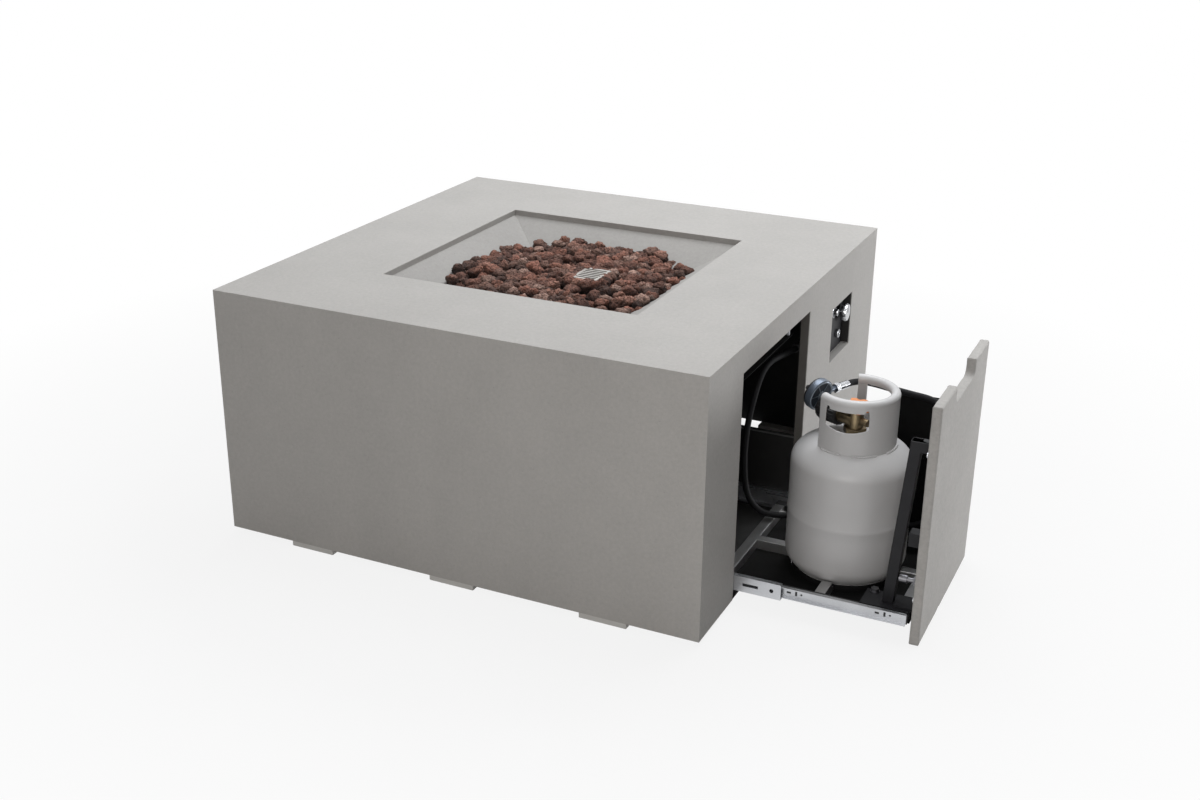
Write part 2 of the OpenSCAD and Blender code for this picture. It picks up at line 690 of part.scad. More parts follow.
module burner_ring() {
  inner = ring_tube_r - ring_wall;
  color([0.68, 0.67, 0.65]) difference() {
    union() {
      translate([0, 0, z_ring]) rotate_extrude() translate([ring_r, 0]) circle(r = ring_tube_r);
      xrod(-ring_r, 0, z_ring, ring_tube_r - 1.5, 2 * ring_r);
      zrod(0, 0, z_floor, 16, z_ring - z_floor + 12);
      zrod(0, 0, z_pan - 14, 10, pan_t + 14 + e);
    }
    translate([0, 0, z_ring]) rotate_extrude() translate([ring_r, 0]) circle(r = inner);
    xrod(-ring_r, 0, z_ring, inner - 1.5, 2 * ring_r);
    zrod(0, 0, z_pan - 14 - e, 7, z_ring - z_pan + 14);
    for (i = [0:ring_ports - 1]) rotate([0, 0, (i + 0.5) * 360 / ring_ports])
      zrod(ring_r, 0, z_ring + inner - 2, port_r, ring_wall + 6);
  }
}

module air_mixer() {
  z0 = z_pan - mixer_len;
  color([0.72, 0.6, 0.32]) difference() {
    union() {
      zrod(0, 0, z0, 14, mixer_len);
      translate([0, 0, z_pan - 9]) cylinder(r = 19, h = 9, $fn = 6);
    }
    zrod(0, 0, z_pan - 14 - 0.2, 10 + run, 14 + 0.2 + e);
    zrod(0, 0, z0 + 12, 7, mixer_len);
    for (a = [0, 90]) rotate([0, 0, a]) block([-20, -4, z0 + 20], [20, 4, z0 + 34]);
  }
}

module mixer_elbow() {
  z0 = z_pan - mixer_len;
  color([0.72, 0.6, 0.32]) {
    zrod(0, 0, elbow_z, 8, z0 - elbow_z);
    xrod(0, 0, elbow_z, 8, 18);
    translate([0, 0, elbow_z]) sphere(r = 8);
    translate([18, 0, elbow_z]) rotate([0, 90, 0]) cylinder(r = 9, h = 12, $fn = 6);
  }
}

module feed_tube() { color([0.78, 0.79, 0.8]) sweep(curve(feed_pts, 3), feed_r, 10); }

px0 = pilot_x - pilot_w / 2;
px1 = pilot_x + pilot_w / 2;
py0 = pilot_y - pilot_l / 2;
py1 = pilot_y + pilot_l / 2;
z_pilot = z_ring + ring_tube_r + 3;

module pilot_shield() {
  pitch = (pilot_l - 10) / pilot_slots;
  color([0.72, 0.7, 0.67]) difference() {
    block([px0, py0, z_pilot], [px1, py1, z_pilot + pilot_h]);
    block([px0 + pilot_t, py0 + pilot_t, z_pilot - e],
      [px1 - pilot_t, py1 - pilot_t, z_pilot + pilot_h - pilot_t]);
    for (i = [0:pilot_slots - 1])
      block([px0 + 6, py0 + 5 + (i + 0.25) * pitch, z_pilot + pilot_h - pilot_t - e],
        [px1 - 6, py0 + 5 + (i + 0.75) * pitch, z_pilot + pilot_h + e]);
    for (i = [0:3])
      block([px0 - e, py0 + 10, z_pilot + 16 + i * 10], [px1 + e, py1 - 10, z_pilot + 20 + i * 10]);
  }
}

module pilot_burner() {
  color([0.66, 0.65, 0.62]) difference() {
    union() {
      block([pilot_x - 14, pilot_y - 8, z_floor], [pilot_x + 6, pilot_y + 4, z_floor + pilot_t]);
      block([pilot_x - 12, pilot_y - 2, z_floor], [pilot_x + 2, pilot_y - 2 + pilot_t, z_pilot + pilot_t]);
      block([px0 + pilot_t, py0 + pilot_t, z_pilot], [px1 - pilot_t, py1 - pilot_t, z_pilot + pilot_t]);
      zrod(pilot_x + 12, pilot_y - 14, z_pilot, 5, 30);
    }
    zrod(pilot_x + 12, pilot_y - 14, z_pilot + 10, 3, 30);
    zrod(pilot_x + 5, pilot_y + 10, z_pilot - e, 2.6, pilot_t + 2 * e);
    zrod(pilot_x - 5, pilot_y - 12, z_pilot - e, 3.4, pilot_t + 2 * e);
    zrod(pilot_x - 5, pilot_y - 12, z_floor - e, 3.4, pilot_t + 2 * e);
  }
}

module thermocouple() {
  p = thermo_pts[len(thermo_pts) - 1];
  color([0.7, 0.45, 0.3]) {
    zrod(p[0], p[1], p[2], 2.5, z_pilot + 46 - p[2]);
    sweep(curve(thermo_pts, 3), lead_r, 8);
  }
}

module spark_electrode() {
  p = spark_pts[len(spark_pts) - 1];
  color([0.9, 0.88, 0.82]) {
    zrod(p[0], p[1], p[2], 3.3, z_pilot + 22 - p[2]);
    zrod(p[0], p[1], z_pilot + 22, 1, 24);
    sweep(curve(spark_pts, 3), lead_r, 8);
  }
}

// Heap of lava rock: outline radius, underside on the slope and level of the heap
bed_n = 96;
bed_k = 22;
function bed_rad(a) = bed_w / 2 / pow(pow(abs(cos(a)), 4) + pow(abs(sin(a)), 4), 0.25);
function bed_under(x, y) = max(z_seat + pan_t + 0.2,
  z_hole + 0.3 + slope * (max(abs(x), abs(y)) - hole_w / 2));
function bed_top(a, t) = let (r = bed_rad(a), ze = bed_under(r * cos(a), r * sin(a)) + bed_edge,
  zm = z_lip - bed_sink) zm - (zm - ze) * t * t;
// Rocks in a spiral that fills the outline: place, top and radius, with a scatter from 0 to 1
function scatter(i, k) = ((i * (37 + 20 * k) + 11 * k * k + 17 * (i % 7)) % 101) / 100;
rocks = [for (i = [0:rock_n - 1]) let (a = 137.508 * i, t = sqrt((i + 0.5) / rock_n),
  r = t * (bed_rad(a) - 14)) [r * cos(a), r * sin(a),
  bed_top(a, t) + bed_bump * (1.6 * scatter(i, 2) - 0.6), rock_r * (0.72 + 0.28 * scatter(i, 1))]];
// Height of one rock over a point, and of the whole heap
rock_flat = 0.85;
function rock_over(q, x, y) = let (g = q[3] * q[3] - (x - q[0]) * (x - q[0]) - (y - q[1]) * (y - q[1]))
  g < 0 ? 0 : q[2] - rock_flat * (q[3] - sqrt(g));
function heap(x, y, a, t) = max(bed_under(x, y) + 3, bed_top(a, t) - 12,
  max([for (q = rocks) rock_over(q, x, y)]));
bed_upper = [for (k = [1:bed_k]) for (j = [0:bed_n - 1]) let (a = 360 * (j + 0.5 * (k % 2)) / bed_n,
  t = k / bed_k, x = t * bed_rad(a) * cos(a), y = t * bed_rad(a) * sin(a))
  [x, y, k == bed_k ? bed_top(a, 1) : heap(x, y, a, t)]];
bed_grid = [for (k = [0:bed_k - 2]) for (j = [0:bed_n - 1]) let (o = k % 2, a = k * bed_n + j,
  b = k * bed_n + (j + 1) % bed_n, c = a + bed_n, d = b + bed_n)
  each (o == 0 ? [[a, c, d], [a, d, b]] : [[a, c, b], [b, c, d]])];

module lava_rock_bed() {
  n = len(bed_upper);
  last = n - bed_n;
  edge = [for (j = [0:bed_n - 1]) bed_upper[last + j]];
  low_edge = [for (p = edge) [p[0], p[1], bed_under(p[0], p[1])]];
  low_floor = [for (p = edge) let (m = (hole_w / 2 - 6) / max(abs(p[0]), abs(p[1])))
    [m * p[0], m * p[1], bed_under(m * p[0], m * p[1])]];
  top_fan = [for (j = [0:bed_n - 1]) [n + 2 * bed_n, j, (j + 1) % bed_n]];
  rim = [for (j = [0:bed_n - 1]) let (k = (j + 1) % bed_n)
    each [[last + j, n + j, n + k], [last + j, n + k, last + k]]];
  low = [for (j = [0:bed_n - 1]) let (k = (j + 1) % bed_n)
    each [[n + j, n + bed_n + j, n + bed_n + k], [n + j, n + bed_n + k, n + k]]];
  low_fan = [for (j = [0:bed_n - 1]) [n + 2 * bed_n + 1, n + bed_n + (j + 1) % bed_n, n + bed_n + j]];
  pts = concat(bed_upper, low_edge, low_floor, [[0, 0, heap(0, 0, 0, 0)], [0, 0, bed_under(0, 0)]]);
  faces = concat(bed_grid, top_fan, rim, low, low_fan);
  color([0.28, 0.19, 0.17]) difference() {
    polyhedron(pts, [for (f = faces) [f[0], f[2], f[1]]], convexity = 10);
    block([px0 - 1, py0 - 1, z_pan], [px1 + 1, py1 + 1, table_h + 40]);
  }
}

shield_pts = [for (y = [bay_lo + 20, bay_hi - 20])
  each [[block_w / 2 - shield_hold, y, z_block], [inn - 20, y, z_under]]];
shield_x0 = hole_w / 2 + 30;

module heat_shield() {
  color([0.1, 0.1, 0.105]) difference() {
    block([shield_x0, bay_lo + 4, shield_z], [inn - 12, bay_hi - 4, shield_z + shield_t]);
    for (p = shield_pts) zrod(p[0], p[1], shield_z - e, 2.5, shield_t + 2 * e);
  }
}

module shield_standoffs() {
  color([0.6, 0.61, 0.63]) for (p = shield_pts) {
    zrod(p[0], p[1], shield_z + shield_t, 5, p[2] - shield_z - shield_t);
    zrod(p[0], p[1], shield_z, 2.5, shield_t);
    zrod(p[0], p[1], shield_z - 3, 5, 3);
  }
}

module control_plate() {
  color([0.06, 0.06, 0.065]) difference() {
    block([x_plate, niche_lo - plate_lap, niche_z - plate_lap],
      [inn, niche_hi + plate_lap, niche_top + plate_lap]);
    xrod(x_plate - e, knob_y, knob_z, stem_r + 1, cplate_t + 2 * e);
    xrod(x_plate - e, ign_y, ign_z, ign_r - 0.9, cplate_t + 2 * e);
    xrod(x_plate - e, key_y, key_z, key_stem_r + 0.5, cplate_t + 2 * e);
    for (p = plate_pts) xrod(x_plate - e, p[0], p[1], plate_screw_r, cplate_t + 2 * e);
  }
}

module plate_screws() {
  color([0.62, 0.63, 0.65]) for (p = plate_pts) {
    xrod(x_plate, p[0], p[1], plate_screw_r, cplate_t + plate_screw_l);
    xrod(x_plate - 3, p[0], p[1], 4.5, 3);
  }
}

module gas_valve() {
  color([0.7, 0.7, 0.68]) difference() {
    union() {
      block([valve_x0, valve_y0, valve_z0], [valve_x1, valve_y1, valve_z1]);
      xrod(valve_x1, knob_y, knob_z, 11, x_plate - valve_x1);
      xrod(valve_back, knob_y, knob_z, 9, valve_x0 - valve_back);
      xrod(out_x, out_y, out_z, 6.5, 12);
    }
    xrod(stem_x0 - knob_push - 1, knob_y, knob_z, stem_r + run, x_plate - stem_x0 + knob_push + 2);
    xrod(stem_x0 - 20, knob_y, knob_z, stem_r - 1 + run, 20);
  }
}

module valve_plunger() { color([0.75, 0.68, 0.4]) xrod(stem_x0 - 14, knob_y, knob_z, stem_r - 1, 14); }

module valve_stem() {
  color([0.75, 0.75, 0.76]) xrod(stem_x0, knob_y, knob_z, stem_r, knob_x + knob_t - 3 - stem_x0);
}

module control_knob() {
  color([0.78, 0.78, 0.79]) difference() {
    union() {
      xrod(knob_x, knob_y, knob_z, knob_r, knob_t - 3);
      xrod(knob_x + knob_t - 3, knob_y, knob_z, knob_r - 1.5, 3);
      block([knob_x + knob_t - 1, knob_y - 1.2, knob_z],
        [knob_x + knob_t + 0.8, knob_y + 1.2, knob_z + knob_r - 3]);
    }
    xrod(knob_x - e, knob_y, knob_z, stem_r, knob_t - 3 + e);
    for (i = [0:15]) translate([knob_x - e, knob_y, knob_z]) rotate([i * 22.5 + 11.25, 0, 0])
      xrod(0, 0, knob_r + 0.8, 1.6, knob_t - 3 + e);
  }
}

module igniter_body() {
  color([0.1, 0.1, 0.11]) difference() {
    union() {
      xrod(x_plate - ign_len, ign_y, ign_z, ign_r, ign_len);
      xrod(x_plate, ign_y, ign_z, ign_r - 1, cplate_t + bezel_t - 1);
      xrod(ign_x0, ign_y, ign_z, 4, 2);
    }
    xrod(x_plate - 10, ign_y, ign_z, ign_button_r + run, cplate_t + bezel_t + 10);
  }
}

module igniter_bezel() {
  color([0.82, 0.82, 0.83]) difference() {
    xrod(inn, ign_y, ign_z, ign_r + 3, bezel_t);
    xrod(inn - e, ign_y, ign_z, ign_r - 1 + 0.05, bezel_t + 2 * e);
  }
}

module igniter_button() {
  color([0.8, 0.8, 0.81])
    xrod(x_plate - 5, ign_y, ign_z, ign_button_r, 5 + cplate_t + bezel_t + ign_button_h);
}

module key_valve() {
  k = key_body / 2;
  color([0.72, 0.6, 0.32]) difference() {
    union() {
      block([x_plate - 36, key_y - k, key_z - k], [x_plate, key_y + k, key_z + k]);
      zrod(x_plate - 18, key_y, key_z + k, 6, valve_z0 - key_z - k);
    }
    xrod(x_plate - 22, key_y, key_z, key_stem_r + run, 23);
  }
}

module key_bushing() {
  color([0.84, 0.84, 0.85]) difference() {
    xrod(inn, key_y, key_z, key_r, 7);
    xrod(inn - e, key_y, key_z, key_stem_r + run, 7 + 2 * e);
  }
}

module key_socket_stem() {
  color([0.2, 0.2, 0.21]) difference() {
    xrod(x_plate - 20, key_y, key_z, key_stem_r, 20 + cplate_t + 4);
    block([inn - 4, key_y - 3, key_z - 3], [inn + 6, key_y + 3, key_z + 3]);
  }
}

module hose_end_fitting() {
  color([0.78, 0.72, 0.5]) {
    translate([inlet_x, fit_y, inlet_z]) rotate([-90, 0, 0])
      cylinder(r = 9, h = valve_y0 - fit_y, $fn = 6);
    yrod(inlet_x, fit_y - ferrule_l + 0.2, inlet_z, hose_r + 1.8, ferrule_l - 0.2);
  }
}

module hose_clip() {
  color([0.1, 0.1, 0.11]) difference() {
    union() {
      yrod(clip_p[0], clip_p[1] - 6, clip_p[2], hose_r + 2.4, 12);
      block([clip_p[0], clip_p[1] - 6, clip_p[2] + hose_r + 0.6],
        [inn, clip_p[1] + 6, clip_p[2] + hose_r + 2.4]);
      block([inn - 2, clip_p[1] - 6, clip_p[2] + hose_r + 0.6],
        [inn, clip_p[1] + 6, clip_p[2] + hose_r + 24]);
      xrod(inn - 5, clip_p[1], clip_p[2] + hose_r + 15, 4.5, 4);
    }
    yrod(clip_p[0], clip_p[1] - 6 - e, clip_p[2], hose_r + 0.6, 12 + 2 * e);
  }
}

// Tube along X from a given underside, and square tube along Y
module tube_x(x0, x1, y0, z0) {
  difference() {
    block([x0, y0, z0], [x1, y0 + bar, bar_top]);
    block([x0 - e, y0 + bar_t, z0 + bar_t], [x1 + e, y0 + bar - bar_t, bar_top - bar_t]);
  }
}
module tube_y(y0, y1, x0) {
  difference() {
    block([x0, y0, bar_top - bar], [x0 + bar, y1, bar_top]);
    block([x0 + bar_t, y0 - e, bar_top - bar + bar_t], [x0 + bar - bar_t, y1 + e, bar_top - bar_t]);
  }
}

x_rear = x_inner - member_len + 30;
x_frontbar = x_back - 34;
rail_z0 = slide_z - i_hi;

module drawer_frame() {
  color([0.74, 0.75, 0.76]) difference() {
    union() {
      tube_x(x_rear, x_inner + 2, rail_lo, rail_z0);
      tube_x(x_rear, x_inner + 2, rail_hi - bar, rail_z0);
      tube_y(rail_lo + bar, rail_hi - bar, x_rear);
      tube_y(rail_lo + bar, rail_hi - bar, x_frontbar);
      tube_y(rail_lo + bar, rail_hi - bar, tank_x - bar / 2);
      tube_x(x_rear + bar, x_frontbar, bay_c - bar / 2, bar_top - bar);
    }
    zrod(tank_x, bay_c, 0, cup_r, bar_top + e);
    zrod(tank_x, bay_c, cup_top - 2, tank_r - 4, bar_top);
  }
}

module drawer_tray() {
  color([0.07, 0.07, 0.075]) difference() {
    block([x_rear, rail_lo + bar, bar_top - bar - tray_t], [x_inner + 2, rail_hi - bar, bar_top - bar]);
    zrod(tank_x, bay_c, 0, cup_r + 0.4, bar_top);
  }
}

module tank_cup() {
  color([0.07, 0.07, 0.075]) difference() {
    zrod(tank_x, bay_c, cup_z, cup_r, cup_top - cup_z);
    zrod(tank_x, bay_c, cup_z + cup_t, cup_r - cup_t, cup_top);
  }
}

corner_x0 = x_back - 10 - corner_len;
corner_y1 = strut_y + 30 - corner_w;
bolt_p = [corner_x0 + 15, strut_y - 22];

module corner_plate() {
  difference() {
    block([corner_x0, bay_c - corner_y1 - corner_w, bar_top],
      [x_back - 10, bay_c - corner_y1, bar_top + corner_t]);
    zrod(bolt_p[0], bay_c - bolt_p[1], bar_top - e, 4.1, corner_t + 2 * e);
  }
}
module corner_plates() { color([0.1, 0.1, 0.105]) { corner_plate(); far() corner_plate(); } }

strut_z0 = bar_top + corner_t;
strut_x = x_back - strut_back;
strut_h = strut_top - strut_z0;

module strut() {
  x0 = strut_x - bar / 2;
  difference() {
    union() {
      translate([0, bay_c - strut_y + bar / 2, 0]) rotate([90, 0, 0]) linear_extrude(bar)
        polygon([[x0, strut_z0], [x0 + bar, strut_z0], [x0 + bar + strut_lean, strut_top],
          [x0 + strut_lean, strut_top]]);
      block([strut_x + strut_lean, bay_c - strut_y - bar / 2, strut_top - bar],
        [x_back - brk_t, bay_c - strut_y + bar / 2, strut_top]);
    }
    k = strut_lean / strut_h;
    translate([0, bay_c - strut_y + bar / 2 - bar_t, 0]) rotate([90, 0, 0]) linear_extrude(bar - 2 * bar_t)
      polygon([[x0 + bar_t - e * k, strut_z0 - e], [x0 + bar - bar_t - e * k, strut_z0 - e],
        [x0 + bar - bar_t + strut_lean + e * k, strut_top + e],
        [x0 + bar_t + strut_lean + e * k, strut_top + e]]);
  }
}
module front_struts() { color([0.08, 0.08, 0.085]) { strut(); far() strut(); } }

gusset_y = bay_c + corner_y1 + corner_w + 0.3;
module far_gusset() {
  color([0.07, 0.07, 0.075]) block([x_back - gusset_len, gusset_y, bar_top],
    [x_back, gusset_y + gusset_t, strut_top - gusset_drop]);
}

// Brackets between one strut and the panel: upper plate, middle angle and lower angle
module panel_brackets() {
  yc = bay_c - strut_y;
  difference() {
    union() {
      block([x_back - brk_t, yc - 24, strut_top - 30], [x_back, yc + 24, strut_top + 34]);
      block([x_back - brk_t, yc - 22, strut_z0], [x_back, yc + 22, strut_z0 + low_brk_h]);
      block([x_back - 40, yc - 22, strut_z0], [x_back - brk_t, yc + 22, strut_z0 + brk_t]);
    }
    for (p = screw_pts) xrod(x_back - brk_t - e, yc + p[0], p[1], screw_r, brk_t + 2 * e);
    xrod(x_back - brk_t - e, yc, strut_z0 + 50, 5, brk_t + 2 * e);
  }
  difference() {
    union() {
      block([x_back - 26, yc - 12, mid_brk_z + mid_brk_h - brk_t], [x_back, yc + 12, mid_brk_z + mid_brk_h]);
      block([x_back - brk_t, yc - 12, mid_brk_z], [x_back, yc + 12, mid_brk_z + mid_brk_h]);
      block([x_back - 26, yc - 12, mid_brk_z], [x_back, yc - 12 + brk_t, mid_brk_z + mid_brk_h]);
    }
    xrod(x_back - brk_t - e, yc + 2, mid_screw, screw_r, brk_t + 2 * e);
  }
}
screw_pts = [[-17, strut_top - 18], [17, strut_top - 18], [0, strut_top + 22], [-15, strut_z0 + 20],
  [15, strut_z0 + 20]];
mid_screw = mid_brk_z + (mid_brk_h - brk_t) / 2;
module front_brackets() { color([0.09, 0.09, 0.095]) { panel_brackets(); far() panel_brackets(); } }

// Bolt with washer and nut on a corner plate, and the adjuster between strut and panel
module drawer_bolt_set() {
  yc = bay_c - strut_y;
  k = strut_lean / strut_h;
  zrod(bolt_p[0], bay_c - bolt_p[1], bar_top - 10, 4, corner_t + 12);
  zrod(bolt_p[0], bay_c - bolt_p[1], bar_top + corner_t, 9, 1.6);
  translate([bolt_p[0], bay_c - bolt_p[1], bar_top + corner_t + 1.6]) cylinder(r = 7.5, h = 5, $fn = 6);
  translate([bolt_p[0], bay_c - bolt_p[1], bar_top - 7]) cylinder(r = 7.5, h = 7, $fn = 6);
  xa = strut_x + bar / 2 + k * 60;
  xrod(xa + 0.5, yc, strut_z0 + 50, 4.9, x_back - xa - 0.5);
  translate([x_back - brk_t - 8, yc, strut_z0 + 50]) rotate([0, 90, 0]) cylinder(r = 9, h = 8, $fn = 6);
  xrod(xa + 2, yc, strut_z0 + 50, 8, 14);
}
module drawer_bolts() { color([0.6, 0.61, 0.63]) { drawer_bolt_set(); far() drawer_bolt_set(); } }

module bracket_screw_set() {
  yc = bay_c - strut_y;
  for (p = concat(screw_pts, [[2, mid_screw]])) {
    xrod(x_back - brk_t, yc + p[0], p[1], screw_r, brk_t + screw_l);
    xrod(x_back - brk_t - 3, yc + p[0], p[1], 5, 3);
  }
}
module bracket_screws() { color([0.7, 0.71, 0.72]) { bracket_screw_set(); far() bracket_screw_set(); } }

// Outline of the drawer front with its hand notch, across then up
module front_outline() {
  w = bay_w - 2 * front_gap;
  n = notch_w / 2;
  difference() {
    translate([-w / 2, front_low]) square([w, front_top - front_low]);
    translate([-n, front_top - notch_d + notch_r]) square([2 * n, notch_d]);
    translate([-n + notch_r, front_top - notch_d]) square([2 * n - 2 * notch_r, notch_d]);
    for (s = [-1, 1]) translate([s * (n - notch_r), front_top - notch_d + notch_r]) circle(r = notch_r);
  }
}
module drawer_front() {
  color([0.66, 0.64, 0.61]) difference() {
    translate([x_back, bay_c, 0]) rotate([90, 0, 90]) linear_extrude(front_t) front_outline();
    for (s = [-1, 1]) for (p = concat(screw_pts, [[2, mid_screw]]))
      xrod(x_back - e, bay_c + s * (strut_y - p[0]), p[1], screw_r, screw_l + e);
  }
}

// Cylinder shell profile: radius and height pairs of one head
function head(z, s, r, d) = [for (a = [0:7.5:90]) [r * cos(a), z + s * d * sin(a)]];
module tank_form(r, d) {
  translate([tank_x, bay_c, 0]) rotate_extrude() polygon(concat(
    [for (p = head(tz1, 1, r, d)) p[0] < 0.001 ? [0, p[1]] : p],
    [let (h = head(tz0, -1, r, d)) for (i = [len(h) - 1:-1:0]) h[i][0] < 0.001 ? [0, h[i][1]] : h[i]]));
}
module tank_body() {
  color([0.72, 0.73, 0.74]) difference() {
    union() {
      tank_form(tank_r, head_d);
      translate([tank_x, bay_c, (tz0 + tz1) / 2 - 10]) cylinder(r = tank_r + 1, h = 7);
    }
    tank_form(tank_r - tank_t, head_d - tank_t);
    zrod(tank_x, bay_c, dome - 12, 14, 20);
  }
}
module tank_foot_ring() {
  color([0.2, 0.2, 0.21]) difference() {
    zrod(tank_x, bay_c, z_tank, foot_ring_r, tank_low);
    zrod(tank_x, bay_c, z_tank - e, foot_ring_r - collar_t, tank_low + 2 * e);
    tank_form(tank_r, head_d);
  }
}

// Hand window outline: flat top with two relief notches, and a curved bottom
module window_outline() {
  intersection() {
    translate([-win_w / 2, 0]) square([win_w, win_h]);
    translate([0, win_arc]) circle(r = win_arc);
  }
  for (s = [-1, 1]) translate([s * (win_w / 2 - win_notch / 2 - 1), win_h]) {
    translate([-win_notch / 2, -e]) square([win_notch, win_notch / 2 + e]);
    translate([0, win_notch / 2]) circle(r = win_notch / 2);
  }
}
module tank_collar() {
  far = 3 * collar_r;
  mid = (gap_from + gap_to) / 2;
  color([0.74, 0.75, 0.76]) difference() {
    union() {
      difference() {
        zrod(tank_x, bay_c, tz1, collar_r, z_collar - rim_r - tz1);
        zrod(tank_x, bay_c, tz1 - e, collar_r - collar_t, z_collar);
      }
      translate([tank_x, bay_c, z_collar - rim_r]) rotate_extrude() translate([collar_r - rim_r + 0.4, 0])
        circle(r = rim_r);
    }
    tank_form(tank_r, head_d);
    translate([tank_x, bay_c, tz1 - e]) linear_extrude(z_collar) polygon([[0, 0],
      [far * cos(gap_from), far * sin(gap_from)], [far * cos(mid), far * sin(mid)],
      [far * cos(gap_to), far * sin(gap_to)]]);
    for (a = [mid - win_turn, mid + win_turn]) translate([tank_x, bay_c, z_collar - win_drop - win_h])
      rotate([0, 0, a]) rotate([90, 0, 90]) linear_extrude(2 * collar_r) window_outline();
  }
}

module tank_valve() {
  zt = z_wheel - 0.3;
  color([0.75, 0.63, 0.36]) difference() {
    union() {
      zrod(tank_x, bay_c, dome - 8, 13.9, 10);
      translate([tank_x, bay_c, dome]) cylinder(r = 22, h = 12, $fn = 6);
      zrod(tank_x, bay_c, dome + 12, 15, zt - dome - 14);
      zrod(tank_x, bay_c, zt - 4, 4, wheel_h + 6);
      outlet() xrod(0, 0, 0, outlet_r, outlet_len);
      outlet() xrod(-30, 0, 0, 7, 20);
    }
    outlet() xrod(outlet_len - 20, 0, 0, 8, 21);
  }
}

module valve_handwheel() {
  color([0.86, 0.36, 0.1]) translate([tank_x, bay_c, z_wheel]) difference() {
    union() {
      cylinder(r = wheel_r - 7, h = wheel_h);
      for (i = [0:5]) rotate([0, 0, i * 60]) translate([wheel_r - 7, 0, 0]) cylinder(r = 7, h = wheel_h);
    }
    translate([0, 0, -e]) cylinder(r = 4 + run, h = wheel_h + 2 * e);
  }
}

module coupling_nut() {
  color([0.07, 0.07, 0.075]) outlet() difference() {
    union() {
      xrod(nut_from, 0, 0, nut_r, nut_len);
      for (i = [0:19]) rotate([i * 18, 0, 0]) xrod(nut_from + 3, 0, nut_r - 0.6, 2, nut_len - 6);
    }
    xrod(nut_from - e, 0, 0, outlet_r + run, 17 + e);
    xrod(nut_from, 0, 0, nipple_r + run, nut_len + e);
  }
}

// Frame of the regulator disc: local +X is its axis away from the cylinder, local -Y leads to the hose
module reg_frame() {
  outlet() translate([reg_from + reg_t / 2, 0, reg_up]) rotate([0, -reg_tilt, 0]) children();
}

module regulator_body() {
  color([0.55, 0.6, 0.66]) difference() {
    union() {
      outlet() xrod(outlet_len + 0.3, 0, 0, nipple_r + 5, 4);
      outlet() xrod(outlet_len + 0.3, 0, 0, nipple_r, reg_from - outlet_len + 7.7);
      outlet() xrod(reg_from - 7, 0, 0, 12, 5);
      reg_frame() {
        xrod(-reg_t / 2, 0, 0, reg_r, reg_t);
        translate([0, 4 - reg_r, 0]) rotate([90, 0, 0]) cylinder(r = reg_t / 2 - 0.5, h = boss_p - reg_r + 4);
      }
    }
    outlet() xrod(outlet_len, 0, 0, 4, 20);
  }
}

module regulator_cover() {
  color([0.1, 0.1, 0.11]) reg_frame() {
    xrod(reg_t / 2, 0, 0, reg_r - 2, cover_t);
    xrod(reg_t / 2 + cover_t - e, 0, 0, 16, 4 + e);
    xrod(reg_t / 2 + cover_t - e, 18, 12, 5, 6);
  }
}

module hose_ferrule() {
  color([0.82, 0.82, 0.83]) reg_frame() rotate([90, 0, 0]) {
    translate([0, 0, boss_p]) cylinder(r = 9.5, h = 10, $fn = 6);
    translate([0, 0, boss_p + 10]) cylinder(r = hose_r + 1.6, h = ferrule_p - boss_p - 10);
  }
}

module gas_hose() { color([0.05, 0.05, 0.055]) sweep(curve(hose_pts, 2), hose_r, 10); }

concrete_shell();
foot_pads();
rear_tie();
near_side_plate();
far_side_plate();
frame_bolts();
slide_outer_near();
slide_outer_far();
burner_pan();
burner_ring();
air_mixer();
mixer_elbow();
feed_tube();
pilot_shield();
pilot_burner();
thermocouple();
spark_electrode();
lava_rock_bed();
heat_shield();
shield_standoffs();
control_plate();
plate_screws();
gas_valve();
igniter_body();
igniter_bezel();
key_valve();
key_bushing();
hose_end_fitting();
hose_clip();
valve_plunger();
valve_stem();
control_knob();
igniter_button();
key_socket_stem();
slide_middle_near();
slide_middle_far();
outer_ball_cages();
inner_ball_cages();
slide_inner_near();
slide_inner_far();
drawer_frame();
drawer_tray();
tank_cup();
corner_plates();
front_struts();
far_gusset();
front_brackets();
drawer_bolts();
bracket_screws();
drawer_front();
tank_body();
tank_foot_ring();
tank_collar();
tank_valve();
valve_handwheel();
coupling_nut();
regulator_body();
regulator_cover();
hose_ferrule();
gas_hose();
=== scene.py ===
import json
import math
import random

import bmesh
import bpy
import numpy as np
from mathutils import Matrix, Vector, noise


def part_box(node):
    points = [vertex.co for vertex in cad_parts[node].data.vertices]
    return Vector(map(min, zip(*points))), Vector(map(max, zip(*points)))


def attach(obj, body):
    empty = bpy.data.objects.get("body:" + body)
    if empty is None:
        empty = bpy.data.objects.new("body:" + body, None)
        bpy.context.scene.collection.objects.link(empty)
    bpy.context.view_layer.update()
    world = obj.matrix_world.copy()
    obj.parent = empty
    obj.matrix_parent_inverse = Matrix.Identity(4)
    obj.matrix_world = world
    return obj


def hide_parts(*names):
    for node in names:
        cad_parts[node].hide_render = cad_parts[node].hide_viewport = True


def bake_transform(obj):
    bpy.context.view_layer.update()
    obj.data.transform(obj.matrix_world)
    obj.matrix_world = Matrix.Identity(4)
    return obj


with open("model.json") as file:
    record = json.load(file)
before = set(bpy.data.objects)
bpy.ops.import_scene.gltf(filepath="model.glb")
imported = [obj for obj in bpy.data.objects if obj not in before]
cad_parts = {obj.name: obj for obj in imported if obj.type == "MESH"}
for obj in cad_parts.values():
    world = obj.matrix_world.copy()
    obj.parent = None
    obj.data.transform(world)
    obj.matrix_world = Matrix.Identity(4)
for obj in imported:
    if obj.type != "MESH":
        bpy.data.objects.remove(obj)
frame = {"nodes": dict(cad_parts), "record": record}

nodes = frame["nodes"]
